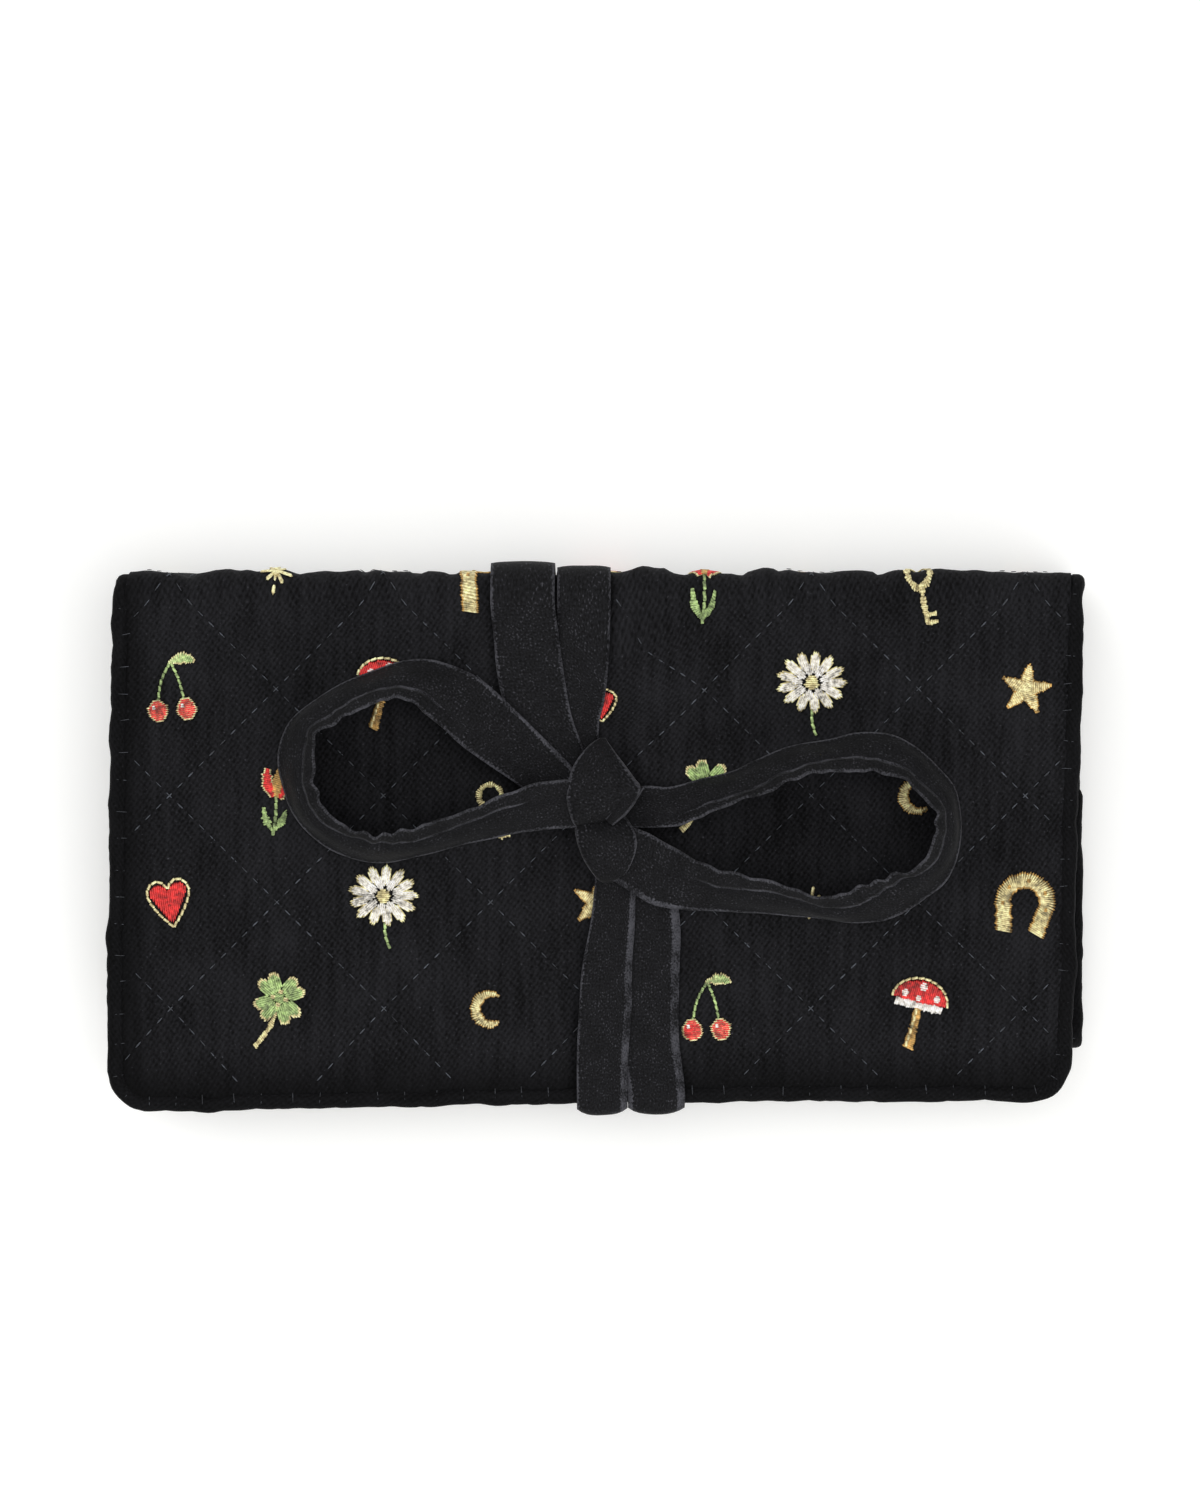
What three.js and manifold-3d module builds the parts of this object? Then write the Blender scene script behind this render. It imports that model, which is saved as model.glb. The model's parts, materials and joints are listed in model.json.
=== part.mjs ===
// Jewelry roll: a quilted velvet case folded in three and tied shut with a ribbon bow.
// Millimetres. It lies on its back: +X along its width, +Y to the top fold, +Z up through the stack.
// From the table up: back panel, inner panel folded up from the bottom, flap folded down from the top.

import * as THREE from 'three';
import { mergeVertices } from 'three/addons/utils/BufferGeometryUtils.js';
import Module from 'manifold-3d';

const wasm = await Module();
wasm.setup();

// Panels
const REAR_LEFT = -106.5;       // left side of the back, the top spine and the inner panel
const REAR_RIGHT = 110;         // right side of the same
const TOP_EDGE = 59.9;          // outer face of the top fold
const BOTTOM_EDGE = -50.1;      // outer face of the bottom fold
const FLAP_LEFT = -108.1;       // flap's left side at the top fold
const FLAP_RIGHT = 109.1;       // flap's right side at the top fold
const FLAP_EDGE = -60;          // flap's free edge
const FLAP_DRIFT = -2.4;        // how far the flap's sides drift from the fold to the free edge
const FLAP_CORNER = 10;         // radius of the flap's free corners
const INNER_REACH = 61;         // inner panel, from its crease to its free edge
const INNER_CORNER = 6;         // radius of the inner panel's free corners
const FIT = 0.3;                // gap between pieces that touch

// Layers of a padded panel
const PANEL = 6;
const LINING = 0.6;
const WADDING = 2.2;
const COVER = PANEL - LINING - WADDING - 2 * FIT;
const COVER_SEAM = 1.2;         // thickness of the quilted cover where it is stitched down
const SEAM_ROLL = 7;            // how far from a sewn edge the cover reaches its full height
const REST_CUT = 0.5;           // depth of the flats that the back's pillows lie on

// Stack
const INNER_GAP = 3;            // from the back's lining to the inner panel's lining
const TOP_RISE = 24;            // between the two creases of the top fold
const FLAP_REST = 1.2;          // from the inner panel's cover to the flap's lining at the bottom fold

// Quilting: squares turned 45 degrees
const QUILT_PITCH = 48;         // diagonal of a square
const QUILT_X = 0;              // a crossing of the stitch lines on the flap
const QUILT_Y = 9.4;
const QUILT_CELLS = 8;          // grid cells across a diagonal

// Bound edges
const BINDING = 4;              // width on the face
const BINDING_HEIGHT = 4.4;
const BINDING_ROUND = 1;

// Zipped pocket on the back panel
const CLOTH = 0.6;              // pocket cloth
const POCKET_MARGIN = 6;        // from the panel's sides to the pocket's sides
const POCKET_RISE = 9.1;        // from the bottom fold's face to the pockets' lower hems
const ZIP_DROP = 18.9;          // from the top fold's face to the centre line of the teeth
const ZIP_SLIT = 1.2;           // between the two rows of teeth
const TOOTH_PITCH = 4;
const TOOTH_WIDTH = 1.6;
const TOOTH_REACH = 2.4;
const TOOTH_HEIGHT = 1.8;
const TAPE_WIDTH = 8;
const TAPE = 0.6;
const TAPE_SHOWS = 3;           // tape between the teeth and the pocket cloth
const CLOTH_SLOPE = 9;          // cloth's run from the tape down to the lining
const END_TAB = 10;             // cloth tab over each end of the tapes
const END_TAB_ROUND = 1;
const SLIDER_LENGTH = 11;
const SLIDER_FRONT = 8.6;
const SLIDER_REAR = 6;
const SLIDER_PLATE = 1.1;
const SLIDER_POST = 0.6;
const SLIDER_ROUND = 1.5;
const SLIDER_STOP = 2;          // from the end of the tapes to the slider at the closed end
const BAIL_LENGTH = 7;
const BAIL_HEIGHT = 3.4;
const BAIL_WALL = 1;
const BAIL_WIDTH = 1.6;
const BAIL_ROUND = 1.6;
const BAIL_EYE_ROUND = 0.8;
const PULL_LENGTH = 10;         // from the pivot to the tip
const PULL_WIDTH = 6;
const PULL = 1;
const PULL_ARM = 1.2;
const PULL_EYE = 4.2;           // from the pivot to the end of the eye
const PULL_NECK = 4.5;          // from the pivot to where the arms join
const PULL_SHOULDER = 6.2;      // from the pivot to the widest place
const PULL_TAPER = 0.6;         // how much each side draws in from there to the tip
const PULL_ROUND = 1.5;
const PULL_PLAY = 0.4;          // between the bail and the eye

// Slip pockets on the linings of the flap and the inner panel
const FLAP_POCKET_DROP = 36.9;  // from the flap's crease to the pocket's open edge, seen from above
const FLAP_POCKET_RISE = 24;    // from the flap's free edge to the pocket's foot
const INNER_POCKET_DROP = 7.9;  // from the inner panel's free edge to its pocket's open edge
const HEM = 5;                  // width of the turned hem along a pocket's mouth
const HEM_EXTRA = 0.4;          // extra thickness of the hem

// Ribbon
const RIBBON = 1;               // thickness of the velvet ribbon
const RIBBON_WIDTH = 14;
const BAND_WIDTH = 12;          // the taut strand, drawn in
const TAIL_WIDTH = 14.4;        // the loose strand over the top
const LOWER_TAIL_WIDTH = 10.4;
const LOWER_BAND_WIDTH = 12.8;
const BAND_X = -3;              // the taut strand at the top fold
const TAIL_X = -16.7;           // the loose strand at the top fold
const LOWER_BAND_X = 12.6;      // the taut strand at the bottom fold
const LOWER_TAIL_X = -0.4;      // the loose strand at the bottom fold
const TAIL_END = [-19, 28];     // end of the loose strand on the back: x, and y from the top fold
const LOWER_TAIL_END = [-6.5, 24];  // the same from the bottom fold
const TAIL_BOW = 1;             // how far the loose strand bows off the spine
const TAIL_LIFT = RIBBON + FIT; // a loose strand lies on the taut one
const STRAND_STEPS = 24;
const LOOP_STEPS = 36;
const SPINE_STEPS = 8;
const KNOT_STEPS = 28;
const KNOT_HEIGHT = 8.5;
const KNOT_TUCK_HEIGHT = 6.5;
const KNOT_RINGS = [-40, 0, 30, 55, 75];  // rings of a knot's pad, by their slope's angle
const UNDER_REACH = 7;          // ribbon tucked behind the flap's free edge
const EDGE_TURN = 3;            // from the free edge to where the ribbon starts to turn round it
const EDGE_SHOULDER = 0.6;      // height over which it turns

// Places worked out from the sizes above
const HALF = PANEL / 2;
const TOP_CREASE_Y = TOP_EDGE - HALF;
const FLAP_CREASE_Z = HALF + TOP_RISE;
const BOTTOM_CREASE_Y = BOTTOM_EDGE + HALF;
const INNER_CREASE_Z = HALF + PANEL + INNER_GAP;
const INNER_TOP_Z = INNER_CREASE_Z + HALF;
const FLAP_TILT = Math.atan(
  (FLAP_CREASE_Z - HALF - INNER_TOP_Z - FLAP_REST) / (TOP_CREASE_Y - BOTTOM_EDGE),
);
const FLAP_LENGTH = (TOP_CREASE_Y - FLAP_EDGE) / Math.cos(FLAP_TILT);
const CREASE_CLEAR = HALF + FIT;  // panels stop this far from a crease's axis
const LINING_Z = PANEL;           // face of the back's lining
const ZIP_Y = TOP_EDGE - ZIP_DROP;
const POCKET_FOOT = BOTTOM_EDGE + POCKET_RISE;

const finish = (color, roughness, metalness = 0) =>
  new THREE.MeshStandardMaterial({ color, roughness, metalness });
const VELVET = finish(0x19191d, 0.95);
const RIBBON_VELVET = finish(0x222226, 0.9);
const BOUND_EDGE = finish(0x141417, 0.85);
const SATIN = finish(0x8d8b88, 0.45);
const FILLING = finish(0xe8e4da, 1);
const TAPE_CLOTH = finish(0x1b1b1e, 0.8);
const BRASS = finish(0xb08d4c, 0.35, 1);

// Turns a geometry into a solid for joining and cutting, and back.
function solid(geometry) {
  const bare = geometry.clone();
  bare.deleteAttribute('normal');
  bare.deleteAttribute('uv');
  const merged = mergeVertices(bare, 1e-4);
  const mesh = new wasm.Mesh({
    numProp: 3,
    vertProperties: new Float32Array(merged.attributes.position.array),
    triVerts: new Uint32Array(merged.index.array),
  });
  return new wasm.Manifold(mesh);
}

function geometryOf(manifold) {
  const mesh = manifold.getMesh();
  const geometry = new THREE.BufferGeometry();
  geometry.setAttribute('position', new THREE.BufferAttribute(mesh.vertProperties, 3));
  geometry.setIndex(new THREE.BufferAttribute(mesh.triVerts, 1));
  geometry.computeVertexNormals();
  return geometry;
}

const join = (...parts) => geometryOf(parts.map(solid).reduce((all, part) => all.add(part)));
const cut = (geometry, tool) => geometryOf(solid(geometry).subtract(solid(tool)));
const meet = (geometry, tool) => geometryOf(solid(geometry).intersect(solid(tool)));

function named(name, geometry, material) {
  const mesh = new THREE.Mesh(geometry, material);
  mesh.name = name;
  return mesh;
}

// A closed outline through corners given as [x, y, radius].
function outline(corners) {
  const shape = new THREE.Shape();
  corners.forEach(([x, y, radius], k) => {
    const here = new THREE.Vector2(x, y);
    const before = new THREE.Vector2(...corners.at(k - 1));
    const after = new THREE.Vector2(...corners[(k + 1) % corners.length]);
    const enter = here.clone().add(before.sub(here).setLength(radius));
    const leave = here.clone().add(after.sub(here).setLength(radius));
    if (k === 0) {
      shape.moveTo(enter.x, enter.y);
    } else {
      shape.lineTo(enter.x, enter.y);
    }
    if (radius > 0) {
      shape.quadraticCurveTo(x, y, leave.x, leave.y);
    }
  });
  shape.closePath();
  return shape;
}

// A flat layer of the given outline, from one height to another.
function layer(shape, from, to) {
  const geometry = new THREE.ExtrudeGeometry(shape, {
    depth: to - from,
    bevelEnabled: false,
    curveSegments: 6,
  });
  return geometry.translate(0, 0, from);
}

// A soft-edged layer: its edges are rounded inside the outline.
function softLayer(shape, from, to, round, segments = 2) {
  const geometry = new THREE.ExtrudeGeometry(shape, {
    depth: to - from - 2 * round,
    bevelSize: round,
    bevelThickness: round,
    bevelOffset: -round,
    bevelSegments: segments,
    curveSegments: 6,
  });
  return geometry.translate(0, 0, from + round);
}

// A profile in the YZ plane, carried along X.
function along(profile, left, right) {
  const shape = new THREE.Shape(profile.map(([y, z]) => new THREE.Vector2(y, z)));
  const geometry = new THREE.ExtrudeGeometry(shape, { depth: right - left, bevelEnabled: false });
  const turn = new THREE.Matrix4().makeBasis(
    new THREE.Vector3(0, 1, 0),
    new THREE.Vector3(0, 0, 1),
    new THREE.Vector3(1, 0, 0),
  );
  return geometry.applyMatrix4(turn).translate(left, 0, 0);
}

// A padded roll along X, on a crease's axis.
function creaseRoll(left, right) {
  const geometry = new THREE.CylinderGeometry(HALF, HALF, right - left, 20);
  return geometry.rotateZ(Math.PI / 2).translate((left + right) / 2, 0, 0);
}

// The four corners of a panel from its crease to its far end, inset at its sides and at a free end.
// A drift moves the sides as they run down from the crease.
function panelCorners(panel, inset) {
  const { left, right, near, far, drift, radius, freeEnd } = panel;
  const shift = drift * (far - near) / far;
  const round = freeEnd ? Math.max(radius - inset, BINDING_ROUND) : 0;
  const end = freeEnd ? far - inset * Math.sign(far - near) : far;
  return {
    nearLeft: [left + inset, near, 0],
    farLeft: [left + shift + inset, end, round],
    farRight: [right + shift - inset, end, round],
    nearRight: [right - inset, near, 0],
  };
}

// Corners run anticlockwise whichever way the panel points.
function panelOutline(panel, inset) {
  const c = panelCorners(panel, inset);
  const down = [c.nearLeft, c.farLeft, c.farRight, c.nearRight];
  return outline(panel.far < panel.near ? down : down.reverse());
}

// The bound edge runs down one side, along the free edge and up the other side.
function bindingOutline(panel) {
  const outer = panelCorners(panel, 0);
  const inner = panelCorners(panel, BINDING);
  const run = [
    outer.nearLeft, outer.farLeft, outer.farRight, outer.nearRight,
    inner.nearRight, inner.farRight, inner.farLeft, inner.nearLeft,
  ];
  return outline(panel.far < panel.near ? run : run.reverse());
}

// Height of the quilted cover over its base: domes between the stitch lines, low at sewn edges.
function quiltHeight(x, y, panel, crown) {
  const across = Math.sin(Math.PI * (x - QUILT_X + y - panel.quiltY) / QUILT_PITCH);
  const along45 = Math.sin(Math.PI * (x - QUILT_X - y + panel.quiltY) / QUILT_PITCH);
  const dome = Math.sqrt(Math.abs(across * along45));
  const inset = BINDING + FIT;
  const toSide = Math.min(x - panel.left - inset, panel.right - inset - x);
  const toEnd = panel.freeEnd ? Math.abs(panel.far - y) - inset : SEAM_ROLL;
  const near = THREE.MathUtils.clamp(Math.min(toSide, toEnd) / SEAM_ROLL, 0, 1);
  return COVER_SEAM + (crown - COVER_SEAM) * dome * Math.sqrt(near * (2 - near));
}

// The quilted cover, base at zero and domes up, cut to the panel's outline inside the binding.
// Grid lines fall on the stitch lines, and each cell's diagonal follows the stitch line through it.
function quiltedCover(panel, crown) {
  const step = QUILT_PITCH / QUILT_CELLS;
  const spare = Math.abs(panel.drift) + step;
  const firstX = Math.floor((panel.left - spare - QUILT_X) / step);
  const lastX = Math.ceil((panel.right + spare - QUILT_X) / step);
  const low = Math.min(panel.near, panel.far) - step;
  const high = Math.max(panel.near, panel.far) + step;
  const firstY = Math.floor((low - panel.quiltY) / step);
  const lastY = Math.ceil((high - panel.quiltY) / step);
  const rows = lastY - firstY + 1;
  const columns = lastX - firstX + 1;
  const points = [];
  const faces = [];
  for (let i = 0; i < columns; i += 1) {
    for (let j = 0; j < rows; j += 1) {
      const x = QUILT_X + (firstX + i) * step;
      const y = panel.quiltY + (firstY + j) * step;
      points.push(x, y, quiltHeight(x, y, panel, crown));
    }
  }
  const top = (i, j) => i * rows + j;
  for (let i = 0; i + 1 < columns; i += 1) {
    for (let j = 0; j + 1 < rows; j += 1) {
      const [a, b, c, d] = [top(i, j), top(i + 1, j), top(i + 1, j + 1), top(i, j + 1)];
      const rising = (firstX + i - firstY - j) % QUILT_CELLS === 0;
      faces.push(...(rising ? [a, b, c, a, c, d] : [a, b, d, b, c, d]));
    }
  }
  const rim = [];
  for (let i = 0; i + 1 < columns; i += 1) rim.push(top(i, 0));
  for (let j = 0; j + 1 < rows; j += 1) rim.push(top(columns - 1, j));
  for (let i = columns - 1; i > 0; i -= 1) rim.push(top(i, rows - 1));
  for (let j = rows - 1; j > 0; j -= 1) rim.push(top(0, j));
  const base = points.length / 3;
  rim.forEach((k) => points.push(points[3 * k], points[3 * k + 1], 0));
  points.push((panel.left + panel.right) / 2, (panel.near + panel.far) / 2, 0);
  const middle = points.length / 3 - 1;
  rim.forEach((k, n) => {
    const next = (n + 1) % rim.length;
    faces.push(base + n, base + next, rim[next], base + n, rim[next], k);
    faces.push(base + next, base + n, middle);
  });
  const block = new THREE.BufferGeometry();
  block.setAttribute('position', new THREE.Float32BufferAttribute(points, 3));
  block.setIndex(faces);
  const prism = layer(panelOutline(panel, BINDING + FIT), -1, 2 * PANEL);
  return meet(block, prism);
}

// A band of ribbon through stations { at, side, width }, where side is its width direction.
function sweep(stations, thickness) {
  const points = [];
  const faces = [];
  stations.forEach(({ at, side, width }, k) => {
    const from = stations[Math.max(k - 1, 0)].at;
    const to = stations[Math.min(k + 1, stations.length - 1)].at;
    const tangent = to.clone().sub(from).normalize();
    const face = tangent.clone().cross(side).normalize();
    const across = face.clone().cross(tangent).normalize();
    for (const [u, v] of [[-1, -1], [1, -1], [1, 1], [-1, 1]]) {
      const point = at.clone()
        .addScaledVector(across, u * width / 2)
        .addScaledVector(face, v * thickness / 2);
      points.push(point.x, point.y, point.z);
    }
    if (k === 0) return;
    for (let n = 0; n < 4; n += 1) {
      const [a, b] = [4 * (k - 1) + n, 4 * (k - 1) + (n + 1) % 4];
      faces.push(a, b, b + 4, a, b + 4, a + 4);
    }
  });
  const last = 4 * (stations.length - 1);
  faces.push(0, 2, 1, 0, 3, 2, last, last + 1, last + 2, last, last + 2, last + 3);
  const geometry = new THREE.BufferGeometry();
  geometry.setAttribute('position', new THREE.Float32BufferAttribute(points, 3));
  geometry.setIndex(faces);
  return geometry;
}

// A strand whose width always lies along X, through points [x, y, z, width].
function strand(points, thickness = RIBBON, steps = STRAND_STEPS) {
  const route = new THREE.CatmullRomCurve3(points.map(([x, y, z]) => new THREE.Vector3(x, y, z)));
  const widths = new THREE.CatmullRomCurve3(points.map((p) => new THREE.Vector3(p[3], 0, 0)));
  const side = new THREE.Vector3(-1, 0, 0);
  const stations = [];
  for (let k = 0; k <= steps; k += 1) {
    stations.push({ at: route.getPoint(k / steps), side, width: widths.getPoint(k / steps).x });
  }
  return sweep(stations, thickness);
}

// A bow loop through points [x, y, lift, lean]: lift is what its lower edge clears the flap by,
// and lean, in degrees, raises the edge on the left of its run.
function bowLoop(points) {
  const route = new THREE.CatmullRomCurve3(points.map(([x, y]) => new THREE.Vector3(x, y, 0)));
  const poses = new THREE.CatmullRomCurve3(points.map((p) => new THREE.Vector3(p[2], p[3], 0)));
  const up = new THREE.Vector3(0, 0, 1);
  const stations = [];
  for (let k = 0; k <= LOOP_STEPS; k += 1) {
    const t = k / LOOP_STEPS;
    const { x: lift, y: degrees } = poses.getPoint(t);
    const lean = THREE.MathUtils.degToRad(degrees);
    const rise = RIBBON_WIDTH / 2 * Math.abs(Math.sin(lean)) + RIBBON / 2 * Math.cos(lean);
    const plan = route.getPoint(t);
    const left = up.clone().cross(route.getTangent(t)).normalize();
    const side = left.multiplyScalar(Math.cos(lean)).addScaledVector(up, Math.sin(lean));
    stations.push({ at: onFlap(plan.x, plan.y, FIT + lift + rise), side, width: RIBBON_WIDTH });
  }
  return sweep(stations, RIBBON);
}

// A point over the flap's cover in the flap's own frame, from its place seen from above.
function onFlap(x, y, lift) {
  return new THREE.Vector3(x, (y - TOP_CREASE_Y) / Math.cos(FLAP_TILT), HALF + lift);
}

const flapY = (y) => (y - TOP_CREASE_Y) / Math.cos(FLAP_TILT);

// Padded panels: sides, the end at the crease, the free end, and the row that the quilting lines up on
const backPanel = {
  left: REAR_LEFT,
  right: REAR_RIGHT,
  near: TOP_CREASE_Y - CREASE_CLEAR,
  far: BOTTOM_CREASE_Y + CREASE_CLEAR,
  drift: 0,
  radius: 0,
  quiltY: QUILT_Y,
  freeEnd: false,
};
const flapPanel = {
  left: FLAP_LEFT,
  right: FLAP_RIGHT,
  near: -CREASE_CLEAR,
  far: -FLAP_LENGTH,
  drift: FLAP_DRIFT,
  radius: FLAP_CORNER,
  quiltY: flapY(QUILT_Y),
  freeEnd: true,
};
const innerPanel = {
  left: REAR_LEFT,
  right: REAR_RIGHT,
  near: CREASE_CLEAR,
  far: INNER_REACH,
  drift: 0,
  radius: INNER_CORNER,
  quiltY: QUILT_PITCH / 2,
  freeEnd: true,
};

const group = new THREE.Group();

// Back panel

// Ribbon routes on the back: the taut band from top to bottom and the ends of the two loose tails
const backTop = backPanel.near - FIT;
const backBottom = backPanel.far + FIT;
const BACK_RIBBON_Z = FIT + RIBBON / 2;
const backRoutes = {
  tie_back_band: [
    [BAND_X, backTop, BACK_RIBBON_Z, BAND_WIDTH],
    [(BAND_X + LOWER_BAND_X) / 2, (backTop + backBottom) / 2, BACK_RIBBON_Z, BAND_WIDTH],
    [LOWER_BAND_X, backBottom, BACK_RIBBON_Z, LOWER_BAND_WIDTH],
  ],
  tie_back_upper_tail: [
    [TAIL_X, backTop, BACK_RIBBON_Z, TAIL_WIDTH],
    [(TAIL_X + TAIL_END[0]) / 2, backTop - TAIL_END[1] / 2, BACK_RIBBON_Z, TAIL_WIDTH],
    [TAIL_END[0], backTop - TAIL_END[1], BACK_RIBBON_Z, TAIL_WIDTH],
  ],
  tie_back_lower_tail: [
    [LOWER_TAIL_X, backBottom, BACK_RIBBON_Z, LOWER_TAIL_WIDTH],
    [
      (LOWER_TAIL_X + LOWER_TAIL_END[0]) / 2,
      backBottom + LOWER_TAIL_END[1] / 2,
      BACK_RIBBON_Z,
      LOWER_TAIL_WIDTH,
    ],
    [LOWER_TAIL_END[0], backBottom + LOWER_TAIL_END[1], BACK_RIBBON_Z, LOWER_TAIL_WIDTH],
  ],
};

// Room for a ribbon in the cover: its route a little wider, and longer at both ends
function ribbonRoom(route) {
  const room = route.map(([x, y, z, width]) => [x, y, z - FIT, width + 2 * FIT]);
  for (const [end, next] of [[room[0], room[1]], [room.at(-1), room.at(-2)]]) {
    const away = new THREE.Vector2(end[0] - next[0], end[1] - next[1]).setLength(2 * FIT);
    end[0] += away.x;
    end[1] += away.y;
  }
  return strand(room, RIBBON + 4 * FIT, STRAND_STEPS / 2);
}

// The cover is quilted face up and turned over, so its domes point down and are cut flat to lie on.
function backCover() {
  const turned = { ...backPanel, near: -backPanel.near, far: -backPanel.far, quiltY: -QUILT_Y };
  const domed = quiltedCover(turned, COVER + REST_CUT).rotateX(Math.PI).translate(0, 0, COVER);
  const flats = meet(domed, layer(panelOutline(backPanel, 0), 0, PANEL));
  return Object.values(backRoutes).reduce((cover, route) => cut(cover, ribbonRoom(route)), flats);
}

const WADDING_Z = COVER + FIT;
const LINING_BASE = WADDING_Z + WADDING + FIT;
const backInside = panelOutline(backPanel, BINDING + FIT);
group.add(
  named('back_cover', backCover(), VELVET),
  named('back_wadding', layer(backInside, WADDING_Z, WADDING_Z + WADDING), FILLING),
  named('back_lining', layer(backInside, LINING_BASE, PANEL), SATIN),
);

// Bound edges at the two sides of the back
function sideBinding(left, near, far) {
  const strip = outline([
    [left, far, 0],
    [left + BINDING, far, 0],
    [left + BINDING, near, 0],
    [left, near, 0],
  ]);
  return softLayer(strip, HALF - BINDING_HEIGHT / 2, HALF + BINDING_HEIGHT / 2, BINDING_ROUND);
}
const leftBinding = sideBinding(REAR_LEFT, backPanel.near, backPanel.far);
const rightBinding = sideBinding(REAR_RIGHT - BINDING, backPanel.near, backPanel.far);
group.add(
  named('back_binding_left', leftBinding, BOUND_EDGE),
  named('back_binding_right', rightBinding, BOUND_EDGE),
);

// Padded rolls in the creases beside the back
const backTopRoll = named('top_fold_roll', creaseRoll(REAR_LEFT, REAR_RIGHT), VELVET);
backTopRoll.position.set(0, TOP_CREASE_Y, HALF);
const backBottomRoll = named('bottom_fold_roll', creaseRoll(REAR_LEFT, REAR_RIGHT), VELVET);
backBottomRoll.position.set(0, BOTTOM_CREASE_Y, HALF);
group.add(backTopRoll, backBottomRoll);

for (const [name, route] of Object.entries(backRoutes)) {
  group.add(named(name, strand(route, RIBBON, STRAND_STEPS / 2), RIBBON_VELVET));
}

// Zipped pocket on the back's lining

const POCKET_LEFT = REAR_LEFT + POCKET_MARGIN;
const POCKET_RIGHT = REAR_RIGHT - POCKET_MARGIN;
const SLIDER_BASE = LINING_Z + FIT;
const TOOTH_Z = SLIDER_BASE + SLIDER_PLATE + FIT;
const TAPE_Z = TOOTH_Z + (TOOTH_HEIGHT - TAPE) / 2;
const SLIDER_TOP_Z = TOOTH_Z + TOOTH_HEIGHT + FIT;
const POCKET_Z = TAPE_Z + TAPE + FIT;
const TAPE_INNER = ZIP_SLIT / 2 + TOOTH_REACH;
const POCKET_EDGE = TAPE_INNER + TAPE_SHOWS;

// Pocket cloth: flat over the tape, then down to the lining and along it to the hem
function pocketCloth(edge, over, foot) {
  const away = Math.sign(foot - edge);
  const low = LINING_Z + FIT;
  const slopeEnd = away < 0 ? Math.max(over + away * CLOTH_SLOPE, foot) : foot;
  const under = [[edge, POCKET_Z], [over, POCKET_Z], [slopeEnd, low]];
  if (slopeEnd !== foot) under.push([foot, low]);
  const upper = under.map(([y, z]) => [y, z + CLOTH]).reverse();
  return along([...under, ...upper], POCKET_LEFT, POCKET_RIGHT);
}
const overTape = TAPE_INNER + TAPE_WIDTH + FIT;
const bandFoot = backPanel.near - FIT;
group.add(
  named('pocket_front', pocketCloth(ZIP_Y - POCKET_EDGE, ZIP_Y - overTape, POCKET_FOOT), SATIN),
  named('pocket_band', pocketCloth(ZIP_Y + POCKET_EDGE, ZIP_Y + overTape, bandFoot), SATIN),
);

// One tape with its row of teeth; side is 1 above the slit and -1 below it
const ZIP_LEFT = POCKET_LEFT + END_TAB + FIT;
const ZIP_RIGHT = POCKET_RIGHT - END_TAB - FIT;
function zipTape(side) {
  const back = TAPE_INNER + TOOTH_WIDTH / 2;
  const tip = ZIP_SLIT / 2;
  const count = Math.floor((ZIP_RIGHT - ZIP_LEFT) / TOOTH_PITCH) - 1;
  const lead = (ZIP_RIGHT - ZIP_LEFT - count * TOOTH_PITCH) / 2 + side * TOOTH_PITCH / 4;
  const comb = [[ZIP_LEFT, back], [ZIP_LEFT, TAPE_INNER]];
  for (let k = 0; k < count; k += 1) {
    const x = ZIP_LEFT + lead + k * TOOTH_PITCH;
    comb.push([x, TAPE_INNER], [x, tip], [x + TOOTH_WIDTH, tip], [x + TOOTH_WIDTH, TAPE_INNER]);
  }
  comb.push([ZIP_RIGHT, TAPE_INNER], [ZIP_RIGHT, back]);
  const teeth = new THREE.Shape(comb.map(([x, y]) => new THREE.Vector2(x, ZIP_Y + side * y)));
  const web = outline([
    [ZIP_LEFT, ZIP_Y + side * TAPE_INNER, 0],
    [ZIP_RIGHT, ZIP_Y + side * TAPE_INNER, 0],
    [ZIP_RIGHT, ZIP_Y + side * (TAPE_INNER + TAPE_WIDTH), 0],
    [ZIP_LEFT, ZIP_Y + side * (TAPE_INNER + TAPE_WIDTH), 0],
  ]);
  return join(layer(web, TAPE_Z, TAPE_Z + TAPE), layer(teeth, TOOTH_Z, TOOTH_Z + TOOTH_HEIGHT));
}
group.add(
  named('zip_tape_upper', zipTape(1), TAPE_CLOTH),
  named('zip_tape_lower', zipTape(-1), TAPE_CLOTH),
);

// Cloth tabs that cover the ends of the tapes and stop the slider
function endTab(left) {
  const reach = POCKET_EDGE - FIT;
  const tab = outline([
    [left, ZIP_Y - reach, END_TAB_ROUND],
    [left + END_TAB, ZIP_Y - reach, END_TAB_ROUND],
    [left + END_TAB, ZIP_Y + reach, END_TAB_ROUND],
    [left, ZIP_Y + reach, END_TAB_ROUND],
  ]);
  return softLayer(tab, LINING_Z + FIT, POCKET_Z + CLOTH, CLOTH);
}
group.add(
  named('zip_end_tab_left', endTab(POCKET_LEFT), SATIN),
  named('zip_end_tab_right', endTab(POCKET_RIGHT - END_TAB), SATIN),
);

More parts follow.
